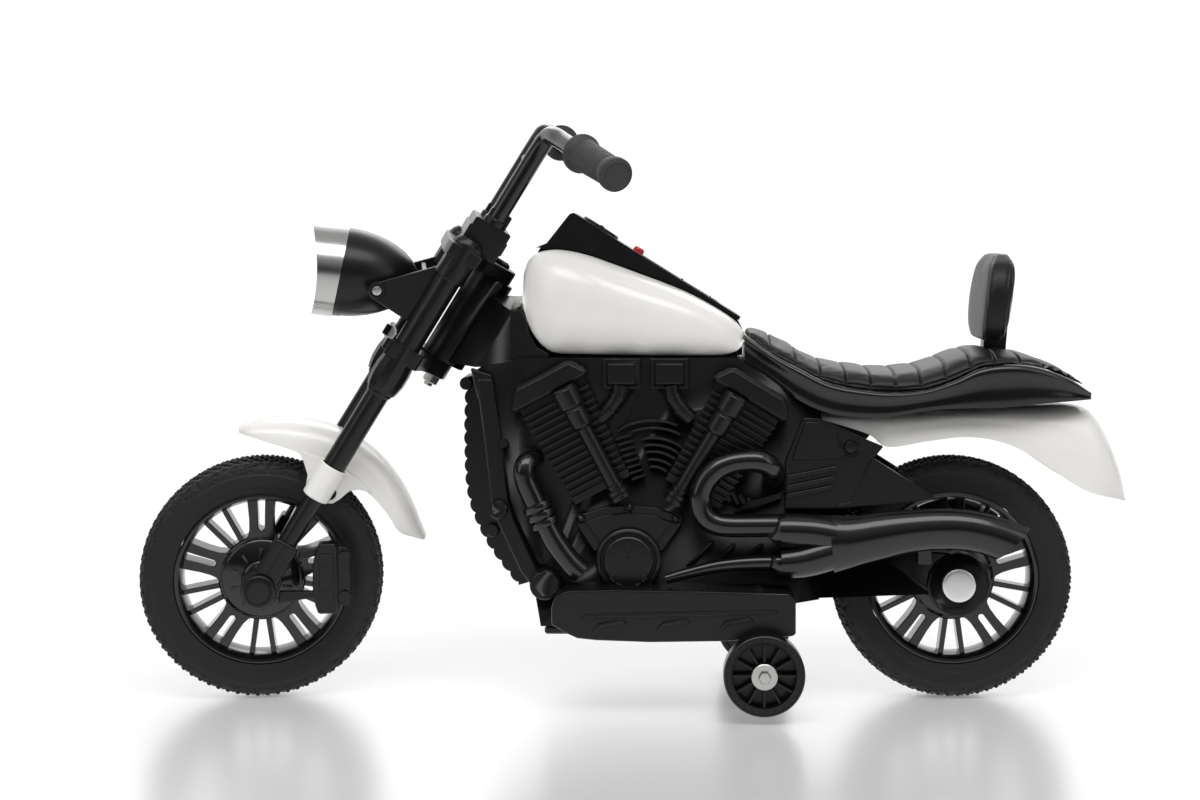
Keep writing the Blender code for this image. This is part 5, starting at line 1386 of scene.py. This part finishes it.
HEADER_RADIUS = 11.7
HEADER_ROUTE = [(-100, 64, 257), (-103, 76, 257), (-107, 83, 250), (-106, 84, 238), (-99.5, 84, 223),
                (-90, 84, 203), (-76, 84, 176), (-60, 84, 154), (-48.5, 84, 143.5)]
CLAMP_FALL = Vector((12, 0, -26))
for label, side in SIDES:
    parts = [pipe(on_side(side, HEADER_ROUTE), [HEADER_RADIUS] * len(HEADER_ROUTE), 6, 14)]
    for start in (-13, -4.2, 4.6):
        ring = [(12.6, start), (15.2, start + 0.8), (15.8, start + 2.4), (15.8, start + 5.6),
                (15.2, start + 7.2), (12.6, start + 8.0)]
        parts.append(lathe(ring, (-90, side * 84, 203), CLAMP_FALL, 48))
    finished(joined(parts), f"header_pipe_{label}_moulding", gloss_black, "chassis",
             [f"header_pipe_{label}"])


# Exhausts
# Glossy black mouldings: a pipe that loops back in an S, a thin lower pipe, and a muffler
# that takes both in and ends in a slanted mouth.

PIPE_RADIUS = 11.9
S_ROUTE = [(148, 58, 236), (148, 69, 240), (147, 80, 247), (141, 87, 254.5), (131, 90, 258.5),
           (117, 90, 258.5), (103, 90, 256), (90, 90, 250), (79, 90.5, 239), (72.5, 91, 222),
           (76.5, 91, 203.5), (88, 91, 195), (104, 90.5, 192.5), (130, 90, 192.5), (158, 89, 192.5)]
LOW_ROUTE = [(38, 84, 137), (60, 86, 143.4), (92, 88, 151), (125, 88, 154), (158, 88, 154.5)]
UPPER_SLEEVE = [(154.6, 88.5, 187), (157, 88.5, 187), (184, 88, 186), (206, 87.4, 182.6), (228, 87, 178)]
LOWER_SLEEVE = [(154.6, 88, 154), (157, 88, 154), (178, 88, 156.5), (202, 87.4, 163), (226, 87, 170)]
# x, y, z, half width and half height of the muffler's oval sections.
MUFFLER = [(206, 87, 172.6, 19.5, 29.5), (222, 87, 174.6, 20.4, 27.2), (240, 86.6, 178, 20.2, 25.4),
           (258, 86, 181.4, 19.8, 24.6), (282, 85, 185.3, 18.6, 22.6), (314, 84, 187.8, 17.4, 21.4),
           (340, 83.3, 187.4, 17.0, 20.8), (362, 82.7, 183.6, 17.2, 20.9), (384, 82, 176.4, 17.6, 21.6),
           (402, 81.4, 168.4, 18.0, 22.2), (418, 81, 160, 18.2, 22.6)]
MUFFLER_WALL = 2.2
HOLLOW_FROM = 6
MOUTH_CUT = [(341.5, 125.4), (439.4, 215.6), (460, 230), (460, 100), (340, 100)]


def tube_point(rows, side):
    """A place on a tube with oval sections, from stations of x, y, z, half width and half height."""
    def place(u, v):
        x, y, z, wide, high = station(rows, u)
        ahead = station(rows, min(u + 0.01, 1.0))
        behind = station(rows, max(u - 0.01, 0.0))
        tilt = math.atan2(ahead[2] - behind[2], ahead[0] - behind[0])
        angle = 2 * math.pi * v
        rise = high * math.sin(angle)
        out = side * (y + wide * math.cos(angle))
        return Vector((x - math.sin(tilt) * rise, out, z + math.cos(tilt) * rise))
    return place


for label, side in SIDES:
    parts = [pipe(on_side(side, S_ROUTE), [PIPE_RADIUS] * len(S_ROUTE), 6, 14),
             pipe(on_side(side, LOW_ROUTE), [5.2, 5.8, 6.8, 7.8, 8.4], 8, 12),
             pipe(on_side(side, UPPER_SLEEVE), [15.4, 17.6, 17.8, 18.2, 18], 8, 14),
             pipe(on_side(side, LOWER_SLEEVE), [13.6, 15.8, 17.4, 18.4, 19], 8, 14)]
    muffler = closed_tube(120, 64, tube_point(MUFFLER, side))
    muffler = cut(muffler, slab(MOUTH_CUT, side * 55, side * 110, 0))
    inner = [(x, y, z, wide - MUFFLER_WALL, high - MUFFLER_WALL)
             for x, y, z, wide, high in MUFFLER[HOLLOW_FROM:]]
    muffler = cut(muffler, closed_tube(24, 40, tube_point(inner, side)))
    parts.append(muffler)
    parts.append(side_box(side, (297, 61.3, 150), (311, 74, 178), 1.0))
    finished(joined(parts), f"exhaust_{label}_moulding", gloss_black, "chassis",
             [f"exhaust_{label}"], crease=40.0)


# Side covers
# Triangular satin black covers behind the rear cylinder, with three raised ribs, a raised
# panel round the screw boss, and a strut plate that runs down to the axle.

COVER_FRONT = 160.5
COVER_RIBS = ((236.5, 215.6), (226.3, 212.4), (217.5, 209.5))
RIB_SLOPE = 0.19
for label, side in SIDES:
    triangle = [(COVER_FRONT, 206.9), (212, 207.4), (272, 212), (316, 218), (252, 259), (262, 271),
                (240, 280), (196, 300), (179, 301), (COVER_FRONT, 256)]
    parts = [slab(triangle, side * FACE, side * 70.8, 1.4)]
    panel = [(167, 257.5), (181, 296.8), (195, 296.4), (214, 287.4), (214.5, 279), (216.5, 273),
             (220.5, 267.6), (226, 264), (214, 258.6)]
    parts.append(slab(panel, side * 69, side * 73.0, 1.4))
    for low, stop in COVER_RIBS:
        rise = (stop - COVER_FRONT) * RIB_SLOPE
        rib = [(COVER_FRONT + 0.6, low), (stop - 2, low + rise), (stop, low + rise + 2.4),
               (stop - 2, low + rise + 5), (COVER_FRONT + 0.6, low + 5)]
        parts.append(slab(rib, side * 69, side * 74.6, 1.3))
    strut = [(249.3, 259.1), (254.6, 257), (314.7, 219.4), (313, 217.2), (271.9, 211.8), (212.4, 207.6),
             (215, 212), (228, 214.6)]
    parts.append(slab(strut, side * 69, side * 73.0, 1.2))
    parts.append(lathe([(10.2, 68), (10.2, 72.2), (9.2, 73.2), (7.6, 73.2), (7.2, 71.8), (6.6, 71.8),
                        (6.6, 76.6), (5.4, 78.0), (1.6, 78.8)], (227.5, 0, 271), (0, side, 0), 56))
    finished(joined(parts), f"side_cover_{label}_moulding", satin_black, "chassis",
             [f"side_cover_{label}"], crease=28.0)


# Footboards
# Long hollow boards in satin black, open below, with a ridge and three chevrons pressed
# into the outer wall and short dashes on the tread. The right one has the pedal's well.

BOARD = [(-78, 112), (-76, 121), (-70, 127), (-61, 130), (-15, 131), (97, 129), (162, 127), (168, 122),
         (169, 86), (165, 84), (97, 79), (22, 78), (-33, 80), (-52, 82), (-65, 88), (-78, 96)]
BOARD_OUTER = 115.0
for label, side in SIDES:
    board = slab(BOARD, side * FACE, side * BOARD_OUTER, 2.2)
    hollow = [(-70, 60), (161, 60), (161, 121), (-60, 124), (-70, 116)]
    board = cut(board, slab(hollow, side * 66.3, side * 111, 0))
    board = cut(board, lathe([(16.7, 50), (16.7, 84)], (-86, 0, 131), (0, side, 0), 48))
    board = cut(board, lathe([(34.9, 50), (34.9, 84)], TIMING_MIDDLE, (0, side, 0), 64))
    parts = [board]
    if label == "right":
        parts = [cut(board, rounded_box((-52, 83, 124), (14, 111.5, 140), 0)),
                 rounded_box((-56, 82, 117), (18, 114, 122), 0)]
    ridge = [(-47, 103.5), (-44, 106.6), (148, 110.8), (151, 108), (147, 106.8), (-43, 102.6)]
    parts.append(slab(ridge, side * 113, side * 117.4, 1.2))
    for x in (-18, 46, 110):
        z = 98.4 + (x + 18) * 0.02
        chevron = [(x - 19, z - 9), (x - 12, z - 1), (x + 12, z + 2.5), (x + 17, z - 2), (x + 12, z - 1.6),
                   (x - 10, z - 4.6), (x - 15, z - 10)]
        parts.append(slab(chevron, side * 113, side * 117.4, 1.0))
    for x in (-42.0, 15.0, 72.0, 128.0):
        top = 130.5 - 0.012 * (x + 15)
        if label == "left" or x > 20:
            parts.append(side_box(side, (x, 72, top - 3), (x + 9, 108, top + 1.6), 0.8, 2))
    finished(joined(parts), f"footboard_{label}_moulding", satin_black, "chassis",
             [f"footboard_{label}"], crease=28.0)

PEDAL_RIBS = 6
PEDAL_SLOPE = 6 / 58
pedal = [softened(worked_copy("foot_pedal"), 1.4)]
for index in range(PEDAL_RIBS):
    x = -40 + 9 * index
    z = 131 + (12 - x) * PEDAL_SLOPE
    pedal.append(rounded_box((x, 88, z - 1.2), (x + 3.4, 106.5, z + 0.9), 0.5, 2))
finished(joined(pedal), "foot_pedal_moulding", satin_black, "foot_pedal",
         ["foot_pedal"])


# Console
# The black spine of the tank, with a low pod at its front that holds a round dial, and a
# sunk panel for the red horn button, the black direction rocker and the red power rocker.

SLOPE_FRONT = (-8.0, 479.0)
SLOPE_REAR = (116.0, 403.0)
SLOPE = math.atan2(SLOPE_FRONT[1] - SLOPE_REAR[1], SLOPE_REAR[0] - SLOPE_FRONT[0])
SLOPE_UP = Vector((math.sin(SLOPE), 0, math.cos(SLOPE)))
POD_LEAN = math.atan2(30.0, 47.0)
POD = Matrix.Translation(Vector((-32, 0, 495.6))) @ Matrix.Rotation(POD_LEAN, 4, "Y")
DIAL_TICKS = 9

# Coloured button plastic: an even red with a soft gloss.
red_plastic = moulded("red_plastic", "B3161A", "BE1B1F", 0.28, 0.05, 2.0, 0.02, IOR=1.5)
# Printed plastic: a pale and nearly matt face.
dial_face = moulded("printed_dial_face", "DADAD6", "E2E2DE", 0.4, 0.05, 2.0, 0.01, IOR=1.45)


def on_slope(x, height=0.0):
    """A place over the console's sloping top."""
    z = SLOPE_FRONT[1] - math.tan(SLOPE) * (x - SLOPE_FRONT[0])
    return Vector((x, 0, z)) + SLOPE_UP * height


def slope_space(piece, x, height=0.0):
    """Moves a piece made level at the origin onto the console's slope."""
    piece.data.transform(Matrix.Translation(on_slope(x, height)) @ Matrix.Rotation(SLOPE, 4, "Y"))
    return piece


console = [softened(worked_copy("tank_console"), 1.0)]
frame_rim = slope_space(plate([(-25, -22), (87, -22), (87, 22), (-25, 22)], -1.4, 0.5, 0.5), 20)
frame_rim = cut(frame_rim, slope_space(plate([(-21.6, -18.7), (83.6, -18.7), (83.6, 18.7), (-21.6, 18.7)],
                                             -8, 8, 0), 20))
console.append(frame_rim)
dial_rim = upright([(21.4, -2), (21.4, 1.4), (20.4, 2.6), (19.0, 2.6), (18.4, 1.2), (18.0, -2)], 0, 0, 72)
dial_rim.data.transform(POD)
console.append(dial_rim)
finished(joined(console), "tank_console_moulding", satin_black, "chassis",
         ["tank_console"], crease=28.0)
dial = upright([(17.9, -1), (17.9, 1.6), (17.4, 1.9), (2, 2.0)], 0, 0, 72)
dial.data.transform(POD)
finished(dial, "dial_face", dial_face, "chassis")
marks = []
for index in range(DIAL_TICKS):
    tick = rounded_box((13.2, -0.5, 1.6), (16.4, 0.5, 2.3), 0.2, 1)
    tick.data.transform(Matrix.Rotation(math.radians(-120 + 30 * index), 4, "Z"))
    marks.append(tick)
needle = rounded_box((-3, -0.7, 1.8), (12.4, 0.7, 2.6), 0.3, 1)
needle.data.transform(Matrix.Rotation(math.radians(140), 4, "Z"))
marks += [needle, upright([(2.6, 1.6), (2.6, 3.2), (1.8, 3.8)], 0, 0, 32)]
marks = joined(marks)
marks.data.transform(POD)
finished(marks, "dial_marks", satin_black, "chassis")

horn = lathe([(6, -11), (6, 3.6), (5.7, 5.0), (4.9, 5.9), (3.4, 6.4), (1.2, 6.3)], on_slope(7), SLOPE_UP, 64)
finished(horn, "horn_button_moulding", red_plastic, "horn_button", ["horn_button"])
for name, x, half, width, material, slot in (
        ("direction_rocker", 46, 10.6, 8.2, satin_black, "matt_black_plastic"),
        ("power_rocker", 78, 7.6, 6.7, red_plastic, "red_plastic")):
    cap = slab([(-half, -0.6), (-half * 0.5, -2.4), (0, -3.2), (half * 0.5, -1.2), (half, 2.2),
                (half - 1.5, -9), (-half + 1.5, -9)], -width, width, 0.9)
    ridge = rounded_box((-0.8, -width + 1.5, -4), (0.8, width - 1.5, -2.2), 0.4, 2)
    finished(slope_space(joined([cap, ridge]), x, 0.5), f"{name}_cap", material, name, [name])


# Small parts at the rear
# The flat backrest post, brushed plated caps on the rear axle, the bent steel strap with
# its shoulder bolts, and the small ribbed training wheels.

# Brushed plating: pale, with fine rings turned into it round the axle. They are drawn
# coarser than real, so that they show.
BRUSHED_RING = 0.385
brushed_cap = new_material("brushed_plated_cap")
cap_place = node(brushed_cap, "ShaderNodeTexCoord")
cap_centred = node(brushed_cap, "ShaderNodeVectorMath", [(0, cap_place, "Object")], operation="SUBTRACT")
cap_centred.inputs[1].default_value = tuple(REAR_AXLE * MM)
cap_flat = node(brushed_cap, "ShaderNodeVectorMath", [(0, cap_centred, 0)], operation="MULTIPLY")
cap_flat.inputs[1].default_value = (1.0, 0.0, 1.0)
cap_reach = node(brushed_cap, "ShaderNodeVectorMath", [(0, cap_flat, 0)], operation="LENGTH")
cap_rings = node(brushed_cap, "ShaderNodeTexNoise", [("W", cap_reach, "Value")], noise_dimensions="1D",
                 Scale=1.0 / (BRUSHED_RING * MM), Detail=3.0)
cap_bump = node(brushed_cap, "ShaderNodeBump", [("Height", cap_rings, 0)], Strength=0.6, Distance=0.04 * MM)
cap_skin = node(brushed_cap, "ShaderNodeBsdfPrincipled", [("Normal", cap_bump, 0)],
                Base_Color=linear("D2D2D2"), Roughness=0.34, Metallic=1.0)
node(brushed_cap, "ShaderNodeOutputMaterial", [("Surface", cap_skin, 0)])

post = slab([(372, 330), (396, 330), (398, 372), (403, 430), (394, 432), (374, 376)], -11, 11, 1.2)
finished(post, "backrest_post_moulding", satin_black, "chassis", ["backrest_post"])
for label, side in SIDES:
    cap = lathe([(17.5, 64.3), (17.5, 68.6), (17.0, 69.9), (15.8, 70.7), (13, 71.1), (6, 71.3), (2, 71.3)],
                REAR_AXLE, (0, side, 0), 96)
    finished(cap, f"rear_cap_{label}_plated", brushed_cap, "chassis", [f"rear_cap_{label}"])

strap = softened(worked_copy("stabilizer_bar"), 1.0)
finished(strap, "stabilizer_strap", zinc_steel, "chassis", ["stabilizer_bar"])

TRAINER = Vector((136, 0, 49))
TRAINER_SPOKES = 12
TRAINER_RIM_RIBS = 28
for label, side in SIDES:
    outward = (0, side, 0)
    shaft = lathe([(8, 102.5), (8, 105.7), (5, 105.7), (5, 141.3), (12.4, 141.3), (13, 141.9), (13, 142.9),
                   (12.4, 143.4), (5.4, 143.4)], TRAINER, outward, 64)
    hexagon = lathe([(5.6, 143), (6.3, 143.6), (6.3, 147.4), (5.6, 148.4), (2, 148.5)], TRAINER, outward, 6)
    finished(joined([shaft, hexagon]), f"training_bolt_{label}_steel", zinc_steel, "chassis",
             [f"training_bolt_{label}"], crease=28.0)
    tread = lathe([(40.2, 117.6), (41, 119), (41, 138.8), (40.4, 140.2), (39.4, 140.9), (38.6, 140.9),
                   (38.2, 139.6), (33.8, 139.6), (33.4, 140.9), (32.4, 141), (31.8, 140), (31.8, 126),
                   (13.4, 126), (13.4, 139.6), (12.6, 140.6), (5.3, 140.6), (5.3, 117), (12.4, 117),
                   (13.4, 118), (13.4, 123.5), (36, 123.5), (36, 117.6)], (0, 0, 0), outward, 128, loop=True)
    spoke = side_box(side, (11, 126, -1.3), (33, 137.6, 1.3), 0.6, 2)
    rim_rib = side_box(side, (33.4, 137.6, -0.9), (39.4, 140.4, 0.9), 0.3, 1)
    spokes = around([spoke], TRAINER_SPOKES)
    rim_ribs = around([rim_rib], TRAINER_RIM_RIBS, first=4.0)
    whole = joined([tread] + spokes + rim_ribs)
    whole.location = TRAINER
    finished(whole, f"training_wheel_{label}_moulding", satin_black, f"training_wheel_{label}",
             [f"training_wheel_{label}"], crease=28.0)


# Pieces kept from the part
# Flat or hidden ones, whose solids are already right, with the real finishes.

# Battery case: dark grey plastic with a coarse satin grain.
battery_case = moulded("battery_case_plastic", "2E2E30", "37373A", 0.45, 0.06, 1.2, 0.02, IOR=1.45)
for name, material in (("floor_pan", satin_black), ("motor_gearbox", satin_black), ("rear_axle", zinc_steel),
                       ("battery", battery_case)):
    cad[name].data.materials.clear()
    cad[name].data.materials.append(material)
